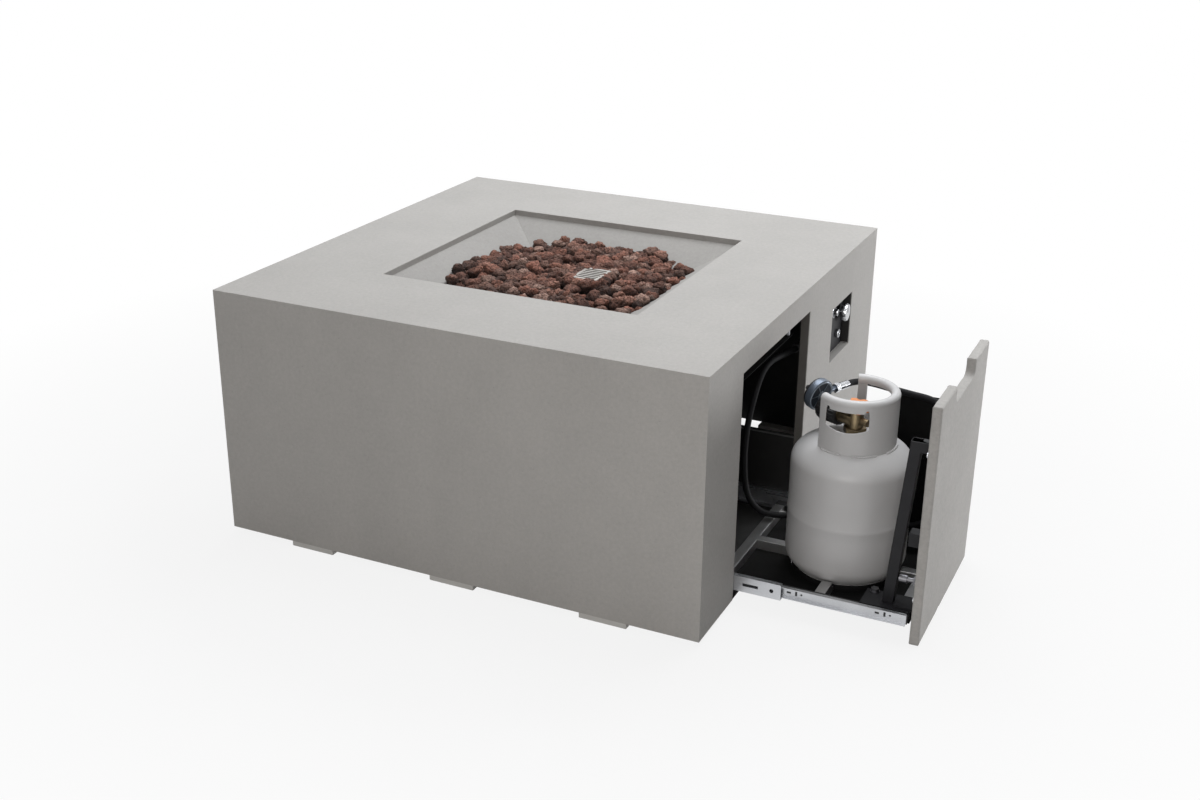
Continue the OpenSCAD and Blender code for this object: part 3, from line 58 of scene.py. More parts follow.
scene = bpy.context.scene
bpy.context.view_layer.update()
UP = Vector((0, 0, 1))


# Camera at the photograph's place, for a 1200 x 800 frame
LENS = 44.73
SENSOR_WIDTH = 36.0
FARTHEST = 50.0
CAMERA_PLACE = Vector((1.3096, -2.6487, 1.4039))
CAMERA_LOOK = Vector((-0.3917, 0.8388, -0.3780)).normalized()
CAMERA_RIGHT = Vector((0.9042, 0.4269, 0.0102)).normalized()


def make_camera():
    data = bpy.data.cameras.new("camera")
    data.lens = LENS
    data.sensor_width = SENSOR_WIDTH
    data.clip_end = FARTHEST
    camera = bpy.data.objects.new("camera", data)
    scene.collection.objects.link(camera)
    up = CAMERA_RIGHT.cross(CAMERA_LOOK).normalized()
    turn = Matrix((CAMERA_RIGHT, up, -CAMERA_LOOK)).transposed()
    camera.matrix_world = Matrix.Translation(CAMERA_PLACE) @ turn.to_4x4()
    scene.camera = camera


make_camera()


# Mesh helpers
def mesh_object(name, verts, faces, smooth=True):
    mesh = bpy.data.meshes.new(name)
    mesh.from_pydata([tuple(v) for v in verts], [], [tuple(f) for f in faces])
    mesh.update()
    if smooth:
        mesh.polygons.foreach_set("use_smooth", [True] * len(mesh.polygons))
    obj = bpy.data.objects.new(name, mesh)
    scene.collection.objects.link(obj)
    return obj


def circle(sides):
    return [2 * math.pi * j / sides for j in range(sides)]


# Quads between neighbouring rings of points; flip is for rings that run clockwise about their line
def ring_faces(rings, sides, first=0, flip=False):
    out = []
    for i in range(first, first + rings - 1):
        near, far = i * sides, (i + 1) * sides
        for j in range(sides):
            k = (j + 1) % sides
            if flip:
                out.append((near + j, far + j, far + k, near + k))
            else:
                out.append((near + j, near + k, far + k, far + j))
    return out


def ring_caps(rings, sides, first=0, flip=False):
    start = [first * sides + j for j in range(sides)]
    end = [(first + rings - 1) * sides + j for j in range(sides)]
    if flip:
        end.reverse()
    else:
        start.reverse()
    return [tuple(start), tuple(end)]


def catmull(points, steps):
    out = []
    n = len(points)
    for i in range(n - 1):
        a = points[max(i - 1, 0)]
        b = points[i]
        c = points[i + 1]
        d = points[min(i + 2, n - 1)]
        for s in range(steps):
            t = s / steps
            out.append(0.5 * (2 * b + (c - a) * t + (2 * a - 5 * b + 4 * c - d) * t * t
                              + (3 * b - a - 3 * c + d) * t ** 3))
    out.append(points[-1])
    return out


def tube(name, line, radius, sides):
    verts = []
    normal = None
    count = len(line)
    for i, p in enumerate(line):
        ahead = (line[min(i + 1, count - 1)] - line[max(i - 1, 0)]).normalized()
        if normal is None:
            ref = UP if abs(ahead.z) < 0.9 else Vector((1, 0, 0))
            normal = ahead.cross(ref).normalized()
        normal = (normal - ahead * normal.dot(ahead)).normalized()
        other = ahead.cross(normal)
        for a in circle(sides):
            verts.append(p + radius * (math.cos(a) * normal + math.sin(a) * other))
    return mesh_object(name, verts, ring_faces(count, sides) + ring_caps(count, sides))


# Gas hose along the route of the CAD solid, in millimetres
TANK_AXIS = Vector((664, -150, 0))
OUTLET_TURN = math.radians(155)
OUT_DIR = Vector((math.cos(OUTLET_TURN), math.sin(OUTLET_TURN), 0))
HOSE_DIR = Vector((math.sin(OUTLET_TURN), -math.cos(OUTLET_TURN), 0))
REGULATOR_REACH = 94
REGULATOR_LEVEL = 356
REGULATOR_CENTRE = TANK_AXIS + REGULATOR_REACH * OUT_DIR + REGULATOR_LEVEL * UP
FERRULE_END = 81.2
STRAIGHT_LEAD = 14
HOSE_START = REGULATOR_CENTRE + FERRULE_END * HOSE_DIR
HOSE = [HOSE_START, HOSE_START + STRAIGHT_LEAD * HOSE_DIR] + [Vector(p) for p in (
    (633, -9, 355), (656, 0, 351), (690, 5, 345), (730, 5, 341), (765, 5, 337), (792, 5, 325),
    (810, 5, 302), (817, 5, 268), (817, 5, 220), (814, 5, 165), (804, 5, 116), (782, 5, 82),
    (747, 5, 63), (700, 5, 58), (640, 4, 58), (580, -8, 58), (530, -36, 58), (495, -60, 60),
    (466, -74, 69), (444, -80, 93), (432, -80, 130), (427, -78, 190), (429, -72, 250),
    (434, -56, 305), (440, -34, 346), (448, -10, 364), (460, 18, 370), (470, 45, 372),
    (474, 64, 372), (474, 76, 372), (472, 120, 371), (466, 180, 370), (462, 222, 370),
    (462, 242, 370))]
HOSE_D = 0.0125
HOSE_STEPS = 6
HOSE_SIDES = 20


def make_hose():
    line = catmull([p / 1000 for p in HOSE], HOSE_STEPS)
    obj = tube("gas_hose_tube", line, HOSE_D / 2, HOSE_SIDES)
    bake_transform(obj)
    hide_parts("gas_hose")
    tuple(line[0])
    [tuple(p) for p in line]
    return obj


hose = make_hose()


# Shader helpers
def start_material(name):
    material = bpy.data.materials.new(name)
    material.use_nodes = True
    tree = material.node_tree
    tree.nodes.clear()
    out = tree.nodes.new("ShaderNodeOutputMaterial")
    shader = tree.nodes.new("ShaderNodeBsdfPrincipled")
    tree.links.new(shader.outputs[0], out.inputs[0])
    coords = tree.nodes.new("ShaderNodeTexCoord")
    return material, tree, shader, coords.outputs["Object"]


def feed(tree, socket, value):
    if isinstance(value, (int, float)):
        socket.default_value = value
    elif isinstance(value, tuple):
        socket.default_value = (*value, 1.0)
    else:
        tree.links.new(value, socket)


def noise_node(tree, coords, scale, detail=4.0, rough=0.55, stretch=None):
    node = tree.nodes.new("ShaderNodeTexNoise")
    node.inputs["Scale"].default_value = scale
    node.inputs["Detail"].default_value = detail
    node.inputs["Roughness"].default_value = rough
    source = coords
    if stretch:
        turn = tree.nodes.new("ShaderNodeMapping")
        turn.inputs["Scale"].default_value = stretch
        tree.links.new(coords, turn.inputs["Vector"])
        source = turn.outputs[0]
    tree.links.new(source, node.inputs["Vector"])
    return node.outputs["Fac"]


def cell_node(tree, coords, scale):
    node = tree.nodes.new("ShaderNodeTexVoronoi")
    node.inputs["Scale"].default_value = scale
    tree.links.new(coords, node.inputs["Vector"])
    return node.outputs["Distance"]


def attribute_node(tree, name):
    node = tree.nodes.new("ShaderNodeAttribute")
    node.attribute_name = name
    return node.outputs


def ramp(tree, value, stops):
    node = tree.nodes.new("ShaderNodeValToRGB")
    for element, (at, colour) in zip(node.color_ramp.elements, stops):
        element.position = at
        element.color = (*colour, 1.0)
    tree.links.new(value, node.inputs[0])
    return node.outputs[0]


def mix(tree, fac, a, b, mode="MIX"):
    node = tree.nodes.new("ShaderNodeMix")
    node.data_type = "RGBA"
    node.blend_type = mode
    for index, value in ((0, fac), (6, a), (7, b)):
        feed(tree, node.inputs[index], value)
    return node.outputs[2]


def calc(tree, operation, a, b=0.0):
    node = tree.nodes.new("ShaderNodeMath")
    node.operation = operation
    feed(tree, node.inputs[0], a)
    feed(tree, node.inputs[1], b)
    return node.outputs[0]


def bump(tree, shader, layers):
    last = None
    for value, height in layers:
        node = tree.nodes.new("ShaderNodeBump")
        node.inputs["Strength"].default_value = 1.0
        node.inputs["Distance"].default_value = height
        tree.links.new(value, node.inputs["Height"])
        if last is not None:
            tree.links.new(last, node.inputs["Normal"])
        last = node.outputs[0]
    tree.links.new(last, shader.inputs["Normal"])


def place_of(tree, coords):
    node = tree.nodes.new("ShaderNodeSeparateXYZ")
    tree.links.new(coords, node.inputs[0])
    return node.outputs


# One inside the box between two corners, nought outside it
def in_box(tree, at, low, high):
    inside = 1.0
    for value, least, most in zip(at, low, high):
        inside = calc(tree, "MULTIPLY", calc(tree, "GREATER_THAN", value, least), inside)
        inside = calc(tree, "MULTIPLY", calc(tree, "LESS_THAN", value, most), inside)
    return inside


def grey(level):
    return (level,) * 3


def shade(colour, k):
    return tuple(max(0.0, min(1.0, x * k)) for x in colour)


# A colour that runs from its darker to its lighter shade as the value rises
def tones(tree, value, base, dark, light, span=(0.3, 0.7)):
    return ramp(tree, value, [(span[0], shade(base, dark)), (span[1], shade(base, light))])


def levels(tree, value, low, high, span=(0.3, 0.7)):
    return ramp(tree, value, [(span[0], grey(low)), (span[1], grey(high))])


# One finish all over, with broad mottling and fine grain
GRAIN_SHARE = 0.35
GRAIN_CONTRAST = 1.3
COAT_ROUGH = 0.2


def plain(name, base, rough, spread, mottle, grain, height, metal=0.0, rough_spread=0.08, stretch=None,
          coat=0.0, gloss=0.5):
    material, tree, shader, coords = start_material(name)
    broad = noise_node(tree, coords, mottle, detail=5.0)
    fine = noise_node(tree, coords, grain, detail=3.0, rough=0.6, stretch=stretch)
    contrast = GRAIN_CONTRAST * spread
    tone = mix(tree, GRAIN_SHARE, tones(tree, broad, base, 1 - spread, 1 + spread),
               tones(tree, fine, base, 1 - contrast, 1 + contrast))
    tree.links.new(tone, shader.inputs["Base Color"])
    roughness = levels(tree, fine, rough - rough_spread, rough + rough_spread, span=(0.25, 0.75))
    tree.links.new(roughness, shader.inputs["Roughness"])
    shader.inputs["Metallic"].default_value = metal
    shader.inputs["Specular IOR Level"].default_value = gloss
    if coat:
        shader.inputs["Coat Weight"].default_value = coat
        shader.inputs["Coat Roughness"].default_value = COAT_ROUGH
    bump(tree, shader, [(fine, height)])
    return material


PLAIN_FINISHES = {
    "black_steel": dict(base=(0.014, 0.014, 0.016), rough=0.5, spread=0.25, mottle=30, grain=900,
                        height=0.00012, gloss=0.22),
    "zinc_steel": dict(base=(0.52, 0.53, 0.55), rough=0.34, spread=0.12, mottle=22, grain=260,
                       height=0.00006, metal=1.0, rough_spread=0.1, stretch=(1, 12, 12)),
    "stainless": dict(base=(0.50, 0.48, 0.45), rough=0.32, spread=0.16, mottle=18, grain=300,
                      height=0.00005, metal=1.0, rough_spread=0.1, stretch=(14, 1, 14)),
    "tank_paint": dict(base=(0.54, 0.537, 0.54), rough=0.45, spread=0.05, mottle=9, grain=700,
                       height=0.00016, rough_spread=0.06, coat=0.15),
    "chrome": dict(base=(0.50, 0.51, 0.53), rough=0.2, spread=0.12, mottle=60, grain=500,
                   height=0.00002, metal=1.0, rough_spread=0.05),
    # The brass is darkened as painted shade
    "brass": dict(base=(0.21, 0.165, 0.10), rough=0.42, spread=0.2, mottle=60, grain=300,
                  height=0.00005, metal=1.0),
    "zinc_cast": dict(base=(0.12, 0.145, 0.185), rough=0.34, spread=0.16, mottle=40, grain=700,
                      height=0.0002, metal=0.5),
    "copper_lead": dict(base=(0.42, 0.22, 0.12), rough=0.36, spread=0.12, mottle=30, grain=300,
                        height=0.00005, metal=1.0),
    "ceramic_white": dict(base=(0.78, 0.75, 0.68), rough=0.3, spread=0.05, mottle=40, grain=400,
                          height=0.00005),
    "rubber": dict(base=(0.008, 0.008, 0.009), rough=0.62, spread=0.25, mottle=40, grain=900,
                   height=0.00015, gloss=0.16),
    "black_plastic": dict(base=(0.016, 0.016, 0.017), rough=0.48, spread=0.2, mottle=30, grain=1200,
                          height=0.0001),
    "orange_plastic": dict(base=(0.72, 0.25, 0.08), rough=0.45, spread=0.08, mottle=40, grain=900,
                           height=0.0001),
    "bolt_steel": dict(base=(0.17, 0.17, 0.18), rough=0.33, spread=0.25, mottle=60, grain=500,
                       height=0.00006, metal=1.0),
    # A darker copy of black steel, as painted shade, for parts deep inside the table
    "inner_black_shaded": dict(base=(0.006, 0.006, 0.006), rough=0.7, spread=0.3, mottle=30, grain=900,
                        height=0.00012, gloss=0.1),
    "pad_plastic": dict(base=(0.55, 0.54, 0.52), rough=0.6, spread=0.08, mottle=30, grain=700,
                        height=0.0001),
}


# Cast concrete, clouded and pored
CONCRETE = (0.393, 0.38, 0.364)
PORES_PER_METRE = 60.0
PORE_SHARE = 0.25


def concrete_material(name, mottle, hollows=None):
    material, tree, shader, coords = start_material(name)
    cloud = noise_node(tree, coords, 4.2, detail=6.0, rough=0.6, stretch=(1, 1, 0.55))
    patch = noise_node(tree, coords, 17.0, detail=6.0, rough=0.62)
    grain = noise_node(tree, coords, 420.0, detail=4.0, rough=0.7)
    speck = noise_node(tree, coords, 130.0, detail=5.0, rough=0.75)
    broad = 1.2 * mottle
    tone = tones(tree, cloud, CONCRETE, 1 - broad, 1 + broad, span=(0.39, 0.61))
    tone = mix(tree, 0.5, tone, tones(tree, patch, CONCRETE, 1 - mottle, 1 + mottle, span=(0.38, 0.62)))
    tone = mix(tree, 0.3, tone, tones(tree, grain, CONCRETE, 0.85, 1.13))
    tone = mix(tree, 3 * mottle, tone, tones(tree, speck, CONCRETE, 0.72, 1.28))
    pores = levels(tree, cell_node(tree, coords, PORES_PER_METRE), 0.0, 1.0, span=(0.0, 0.09))
    tone = mix(tree, PORE_SHARE, tone, pores, "MULTIPLY")
    if hollows:
        tone = hollows(tree, tone, place_of(tree, coords))
    tree.links.new(tone, shader.inputs["Base Color"])
    tree.links.new(levels(tree, patch, 0.72, 0.86), shader.inputs["Roughness"])
    bump(tree, shader, [(cloud, 0.0012), (patch, 0.0005), (grain, 0.00025), (pores, 0.0003)])
    return material


# Painted shade in the hollows of the concrete shell; a mask reaches a little past the faces it takes in
SHELL_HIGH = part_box("concrete_shell")[1]
FACE = SHELL_HIGH[0]
TABLE_TOP = SHELL_HIGH[2]
WALL = 0.018
LAP = 0.0005
WIDE_LAP = 0.0015
INNER_FACE = FACE - WALL
BLOCK_UNDERSIDE = 0.426
BOWL_HALF = 0.275
BAY_MIDDLE = -0.150
BAY_HALF = 0.1895
BAY_TOP = TABLE_TOP - 0.052
LINTEL_SHADE = 0.016
NICHE_MIDDLE = 0.268
NICHE_HALF = 0.070
NICHE_TOP = TABLE_TOP - 0.098
NICHE_SILL = NICHE_TOP - 0.117
NICHE_EDGE = 0.0018
OUTER_EDGE = 0.0015
HOLLOW_SHADE = grey(0.006)
BOWL_SHADE = grey(0.84)
JAMB_SHADE = (0.3, 0.29, 0.28)
NICHE_SHADE = (0.02, 0.019, 0.018)


def paint_hollow_shade(tree, tone, at):
    # The bowl is painted a little darker, as shade, up to its outer edge
    bowl_half = BOWL_HALF + WIDE_LAP
    bowl = in_box(tree, at, (-bowl_half, -bowl_half, 0), (bowl_half, bowl_half, TABLE_TOP - OUTER_EDGE))
    tone = mix(tree, bowl, tone, mix(tree, 1.0, tone, BOWL_SHADE, "MULTIPLY"))
    # The hollow under the bowl is painted near black as shade, to just short of the bowl block
    inner = INNER_FACE + LAP
    hollow = in_box(tree, at, (-inner, -inner, 0), (inner, inner, BLOCK_UNDERSIDE - LAP))
    tone = mix(tree, hollow, tone, HOLLOW_SHADE)
    # The sides of the drawer opening are in shade, short of the outer edge
    bay_half = BAY_HALF + WIDE_LAP
    jamb = in_box(tree, at, (INNER_FACE - LAP, BAY_MIDDLE - bay_half, 0),
                  (FACE - OUTER_EDGE, BAY_MIDDLE + bay_half, BAY_TOP + LINTEL_SHADE))
    tone = mix(tree, jamb, tone, mix(tree, 1.0, tone, JAMB_SHADE, "MULTIPLY"))
    # The control niche is painted dark as shade too, apart from its sill and its outer edge
    niche_half = NICHE_HALF + LAP
    niche = in_box(tree, at, (INNER_FACE - LAP, NICHE_MIDDLE - niche_half, NICHE_SILL + OUTER_EDGE),
                   (FACE - NICHE_EDGE, NICHE_MIDDLE + niche_half, NICHE_TOP + LAP))
    return mix(tree, niche, tone, NICHE_SHADE)


# Steel with two finishes, split by a test of its place: the second finish where the test holds
ZINC = ((0.50, 0.50, 0.50), 0.36, 1.0)
BLACK = ((0.016, 0.016, 0.017), 0.5, 0.0)
DARK_SHEET = ((0.03, 0.03, 0.03), 0.34, 0.3)
DULL_ZINC = ((0.2, 0.2, 0.2), 0.45, 1.0)
RAIL_INSIDE = 0.1565
HEM_FOOT = 0.1885


def two_tone(name, first, second, test):
    material, tree, shader, coords = start_material(name)
    broad = noise_node(tree, coords, 22.0, detail=5.0)
    fine = noise_node(tree, coords, 320.0, detail=3.0, rough=0.6, stretch=(1, 10, 10))
    where = test(tree, place_of(tree, coords))
    finishes = []
    for base, rough, metal in (first, second):
        tone = mix(tree, 0.4, tones(tree, broad, base, 0.82, 1.15), tones(tree, fine, base, 0.8, 1.2))
        finishes.append((tone, levels(tree, fine, rough - 0.07, rough + 0.07), grey(metal)))
    for socket, one, other in zip(("Base Color", "Roughness", "Metallic"), *finishes):
        tree.links.new(mix(tree, where, one, other), shader.inputs[socket])
    bump(tree, shader, [(fine, 0.00008)])
    return material


def rail_test(tree, at):
    off_middle = calc(tree, "ABSOLUTE", calc(tree, "SUBTRACT", at[1], BAY_MIDDLE))
    return calc(tree, "GREATER_THAN", off_middle, RAIL_INSIDE)


def hem_test(tree, at):
    return calc(tree, "GREATER_THAN", at[2], HEM_FOOT)


# Cast face with painted shade in its hollows and a painted highlight on its raised edges
def relief_material(name):
    material, tree, shader, coords = start_material(name)
    fine = noise_node(tree, coords, 600.0, detail=3.0)
    tone = ramp(tree, attribute_node(tree, "raised")["Fac"], [
        (0.1, (0.045, 0.058, 0.075)), (0.75, (0.30, 0.35, 0.41))])
    tone = mix(tree, 0.5, tone, levels(tree, fine, 0.6, 1.0), "MULTIPLY")
    tree.links.new(tone, shader.inputs["Base Color"])
    shader.inputs["Metallic"].default_value = 0.5
    tree.links.new(levels(tree, fine, 0.3, 0.46), shader.inputs["Roughness"])
    bump(tree, shader, [(fine, 0.0002)])
    return material


# Pitted stone, tinted rock by rock
def rock_material(name):
    material, tree, shader, coords = start_material(name)
    pits = levels(tree, cell_node(tree, coords, 280.0), 0.0, 1.0, span=(0.1, 0.55))
    rough = noise_node(tree, coords, 115.0, detail=6.0, rough=0.7)
    stain = ramp(tree, rough, [(0.32, (0.3, 0.27, 0.27)), (0.66, grey(1.0))])
    tone = mix(tree, 1.0, attribute_node(tree, "rock_tint")["Color"], stain, "MULTIPLY")
    tone = mix(tree, 0.6, tone, pits, "MULTIPLY")
    tree.links.new(tone, shader.inputs["Base Color"])
    shader.inputs["Roughness"].default_value = 0.92
    bump(tree, shader, [(pits, 0.0022), (rough, 0.002)])
    return material


MATERIALS = {name: plain(name, **look) for name, look in PLAIN_FINISHES.items()}
MATERIALS["concrete"] = concrete_material("concrete", 0.085, paint_hollow_shade)
MATERIALS["front_concrete"] = concrete_material("front_concrete", 0.13)
MATERIALS["lava_rock"] = rock_material("lava_rock")
MATERIALS["frame_steel"] = two_tone("frame_steel", ZINC, BLACK, rail_test)
MATERIALS["side_sheet"] = two_tone("side_sheet", DARK_SHEET, DULL_ZINC, hem_test)
MATERIALS["relief_cast_painted_light"] = relief_material("relief_cast_painted_light")


# Finish of the carried-over nodes: paint, small edge rounding and clean shading
BEVEL = {
    "concrete_shell": 0.0025, "control_knob": 0.0008, "valve_handwheel": 0.0025, "coupling_nut": 0.0012,
    "regulator_body": 0.0012, "regulator_cover": 0.0015, "tank_cup": 0.001, "corner_plates": 0.0008,
    "front_brackets": 0.0006, "front_struts": 0.0012, "drawer_frame": 0.0012, "tank_valve": 0.0008,
    "igniter_button": 0.0012, "igniter_bezel": 0.0008, "key_bushing": 0.0008, "control_plate": 0.0004,
    "far_gusset": 0.0005, "foot_pads": 0.0015}
BEVEL_STEPS = 2
BEVEL_ANGLE = math.radians(35)
FLAT_ANGLE = math.radians(0.5)
WELD_REACH = 0.00002
# Black parts deep inside take the darker copy of black steel, as painted shade
OWN_FINISH = {
    "drawer_frame": "frame_steel", "far_side_plate": "side_sheet", "heat_shield": "inner_black_shaded",
    "near_side_plate": "inner_black_shaded", "rear_tie": "inner_black_shaded", "drawer_tray": "inner_black_shaded",
    "tank_cup": "inner_black_shaded", "far_gusset": "inner_black_shaded", "drawer_bolts": "bolt_steel"}


def finish_node(name, obj, slot):
    obj.data.materials.clear()
    obj.data.materials.append(MATERIALS[OWN_FINISH.get(name, slot)])
    if name in BEVEL:
        weld = obj.modifiers.new("weld", "WELD")
        weld.merge_threshold = WELD_REACH
        flat = obj.modifiers.new("flat", "DECIMATE")
        flat.decimate_type = "DISSOLVE"
        flat.angle_limit = FLAT_ANGLE
        edge = obj.modifiers.new("edge", "BEVEL")
        edge.width = BEVEL[name]
        edge.segments = BEVEL_STEPS
        edge.limit_method = "ANGLE"
        edge.angle_limit = BEVEL_ANGLE


for sub in frame["record"]["subparts"]:
    if sub["node"] in nodes:
        finish_node(sub["node"], nodes[sub["node"]], sub["material_slot"])
hose.data.materials.append(MATERIALS["rubber"])


# Lava rock in place of the CAD bed, laid over the lumps of the CAD heap
BED_W = 0.456
BED_MIDDLE = 0.496
BED_EDGE = 0.011
BED_BUMP = 0.007
BED_INSET = 0.014
PAN_LEVEL = 0.4477
SLOPE_FOOT = 0.4503
SLOPE = 0.054 / 0.105
HOLE_HALF = 0.170
LUMP_COUNT = 140
LUMP_R = 0.025
GOLDEN = math.radians(137.508)


def bed_radius(a):
    return BED_W / 2 / (abs(math.cos(a)) ** 4 + abs(math.sin(a)) ** 4) ** 0.25


def bed_under(x, y):
    return max(PAN_LEVEL, SLOPE_FOOT + SLOPE * (max(abs(x), abs(y)) - HOLE_HALF))


def bed_top(a, t):
    r = bed_radius(a)
    edge = bed_under(r * math.cos(a), r * math.sin(a)) + BED_EDGE
    return BED_MIDDLE - (BED_MIDDLE - edge) * t * t


def scatter(i, k):
    return ((i * (37 + 20 * k) + 11 * k * k + 17 * (i % 7)) % 101) / 100


def heap_lumps():
    out = []
    for i in range(LUMP_COUNT):
        a = GOLDEN * i
        t = math.sqrt((i + 0.5) / LUMP_COUNT)
        r = t * (bed_radius(a) - BED_INSET)
        top = bed_top(a, t) + BED_BUMP * (1.6 * scatter(i, 2) - 0.6)
        out.append((r * math.cos(a), r * math.sin(a), top, LUMP_R * (0.72 + 0.28 * scatter(i, 1))))
    return np.array(out)


LUMPS = heap_lumps()
LUMP_REACH = 0.95
LUMP_ROUND = 0.85
HEAP_FLOOR = 0.003
HEAP_DIP = 0.012


def heap_top(x, y, a, t):
    d2 = (LUMPS[:, 0] - x) ** 2 + (LUMPS[:, 1] - y) ** 2
    near = LUMPS[d2 < (LUMP_REACH * LUMPS[:, 3]) ** 2]
    best = max(bed_under(x, y) + HEAP_FLOOR, bed_top(a, t) - HEAP_DIP)
    if len(near):
        d2 = (near[:, 0] - x) ** 2 + (near[:, 1] - y) ** 2
        fall = near[:, 3] - np.sqrt(near[:, 3] ** 2 - d2)
        best = max(best, float((near[:, 2] - LUMP_ROUND * fall).max()))
    return best


ROCK_SEED = 8
ROCK_FORMS = 14
ROCK_CUTS = 11
CUT_DEPTH = 0.85
FULL_TURN = 6.283


# A round stone with flat breaks, then swellings, roughness and pits
def rock_form(rng):
    bm = bmesh.new()
    bmesh.ops.create_icosphere(bm, subdivisions=4, radius=1.0)
    seed = Vector([rng.uniform(-50, 50) for _ in range(3)])
    cuts = []
    for _ in range(ROCK_CUTS):
        cuts.append((Vector([rng.gauss(0, 1) for _ in range(3)]).normalized(), rng.uniform(0.55, 0.9)))
    out = []
    for v in bm.verts:
        p = v.co * (1 + 0.22 * noise.noise(v.co * 1.4 + seed))
        for n, d in cuts:
            over = p.dot(n) - d
            if over > 0:
                p -= n * over * CUT_DEPTH
        pits = noise.voronoi(p * 2.7 + seed)[0][0]
        swell = 0.17 * noise.noise(p * 3.1 + seed)
        rough = 0.1 * noise.noise(p * 7.0 - seed)
        p *= 1 + swell + rough - 0.3 * max(0, 0.3 - pits)
        out.append(p)
    faces = [[v.index for v in f.verts] for f in bm.faces]
    bm.free()
    return np.array(out), np.array(faces)


# The second layer lies lower, and its light factor darkens its tones as painted shade
ROCK_LAYERS = (
    dict(count=300, turn=0.0, sink=0.0, size=0.0165, light=1.0),
    dict(count=300, turn=0.9, sink=0.008, size=0.0155, light=0.6))
ROCK_INSET = 0.007
SHIELD_CLEAR = 0.7
LEANING_COUNT = 16
LEANING_R = 0.0155
LEANING_CLEAR = 0.45


def rock_spots(rng):
    lo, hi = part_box("pilot_shield")
    for layer in ROCK_LAYERS:
        for i in range(layer["count"]):
            a = GOLDEN * i + layer["turn"] + rng.uniform(-0.02, 0.02)
            t = math.sqrt((i + 0.5) / layer["count"])
            r = t * (bed_radius(a) - ROCK_INSET)
            x, y = r * math.cos(a), r * math.sin(a)
            radius = layer["size"] * rng.uniform(0.78, 1.15)
            gap = SHIELD_CLEAR * radius
            if lo[0] - gap < x < hi[0] + gap and lo[1] - gap < y < hi[1] + gap:
                continue
            top = heap_top(x, y, a, t) + rng.uniform(-0.002, 0.003) - layer["sink"]
            yield x, y, top, radius, layer["light"]
    # Rocks that lean on the pilot shield, so that only its slotted top shows
    half = ((hi[0] - lo[0]) / 2, (hi[1] - lo[1]) / 2)
    middle = ((lo[0] + hi[0]) / 2, (lo[1] + hi[1]) / 2)
    for i in range(LEANING_COUNT):
        a = 2 * math.pi * (i + 0.5) / LEANING_COUNT
        radius = LEANING_R * rng.uniform(0.85, 1.1)
        edge = min(half[0] / abs(math.cos(a)), half[1] / abs(math.sin(a)))
        reach = edge + LEANING_CLEAR * radius
        x, y = middle[0] + reach * math.cos(a), middle[1] + reach * math.sin(a)
        yield x, y, hi[2] + rng.uniform(0.001, 0.006), radius, 1.0


ROCK_TONES = [(0.25, 0.118, 0.086), (0.38, 0.17, 0.118), (0.30, 0.142, 0.104), (0.48, 0.245, 0.18),
              (0.35, 0.195, 0.15), (0.17, 0.092, 0.071), (0.42, 0.185, 0.13), (0.55, 0.35, 0.28)]
GAP_SHADE = 0.16
GAP_SHADE_DEPTH = 0.95


def paint_points(obj, layer_name, colours):
    layer = obj.data.attributes.new(layer_name, "FLOAT_COLOR", "POINT")
    layer.data.foreach_set("color", np.asarray(colours).astype(np.float32).ravel())


def make_rocks():
    rng = random.Random(ROCK_SEED)
    forms = [rock_form(rng) for _ in range(ROCK_FORMS)]
    verts = []
    faces = []
    colours = []
    base = 0
    for x, y, top, radius, light in rock_spots(rng):
        form, tri = forms[rng.randrange(len(forms))]
        about_z = Matrix.Rotation(rng.uniform(0, FULL_TURN), 3, "Z")
        turn = about_z @ Matrix.Rotation(rng.uniform(0, FULL_TURN), 3, "X")
        stretch = np.array((rng.uniform(1.0, 1.25), rng.uniform(0.9, 1.15), 1.0))
        points = form @ np.array(turn).T * stretch * radius
        points += np.array((x, y, top - points[:, 2].max()))
        verts.append(points)
        faces.append(tri + base)
        base += len(points)
        tone = np.array(ROCK_TONES[rng.randrange(len(ROCK_TONES))]) * rng.uniform(0.8, 1.2) * light
        # Painted shade in the hollows between the rocks, darkest low on each rock
        unshaded = GAP_SHADE + (1 - GAP_SHADE) * np.clip((points[:, 2] - top) / (GAP_SHADE_DEPTH * radius) + 1, 0, 1)
        colours.append(np.column_stack((tone[None, :] * unshaded[:, None], np.ones(len(points)))))
    obj = mesh_object("lava_rocks", np.concatenate(verts).tolist(), np.concatenate(faces).tolist())
    paint_points(obj, "rock_tint", np.concatenate(colours))
    obj.data.materials.append(MATERIALS["lava_rock"])
    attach(obj, "table")
    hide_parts("lava_rock_bed")


make_rocks()


# Cylinder body with smooth heads and a weld bead
TANK_CENTRE = TANK_AXIS / 1000
TANK_R = 0.1143
HEAD_DEPTH = 0.057
HEAD_STEPS = 24
WALL_FOOT = 0.072
WALL_HEAD = 0.252
TIP_R = 0.0008
TANK_SIDES = 128
# Levels of the straight wall and how far it stands proud there, most of them across the bead
TANK_WALL = ((0.10, 0), (0.13, 0), (0.1495, 0), (0.1515, 0.0007), (0.1535, 0.001), (0.1575, 0.001),
             (0.1595, 0.0006), (0.1612, 0), (0.19, 0), (0.22, 0))
BEAD_FROM = 0.149
BEAD_TO = 0.162


def bead_wave(a, z):
    if not BEAD_FROM < z < BEAD_TO:
        return 0
    return 0.00025 * noise.noise(Vector((math.cos(a) * 9, math.sin(a) * 9, z * 60)))


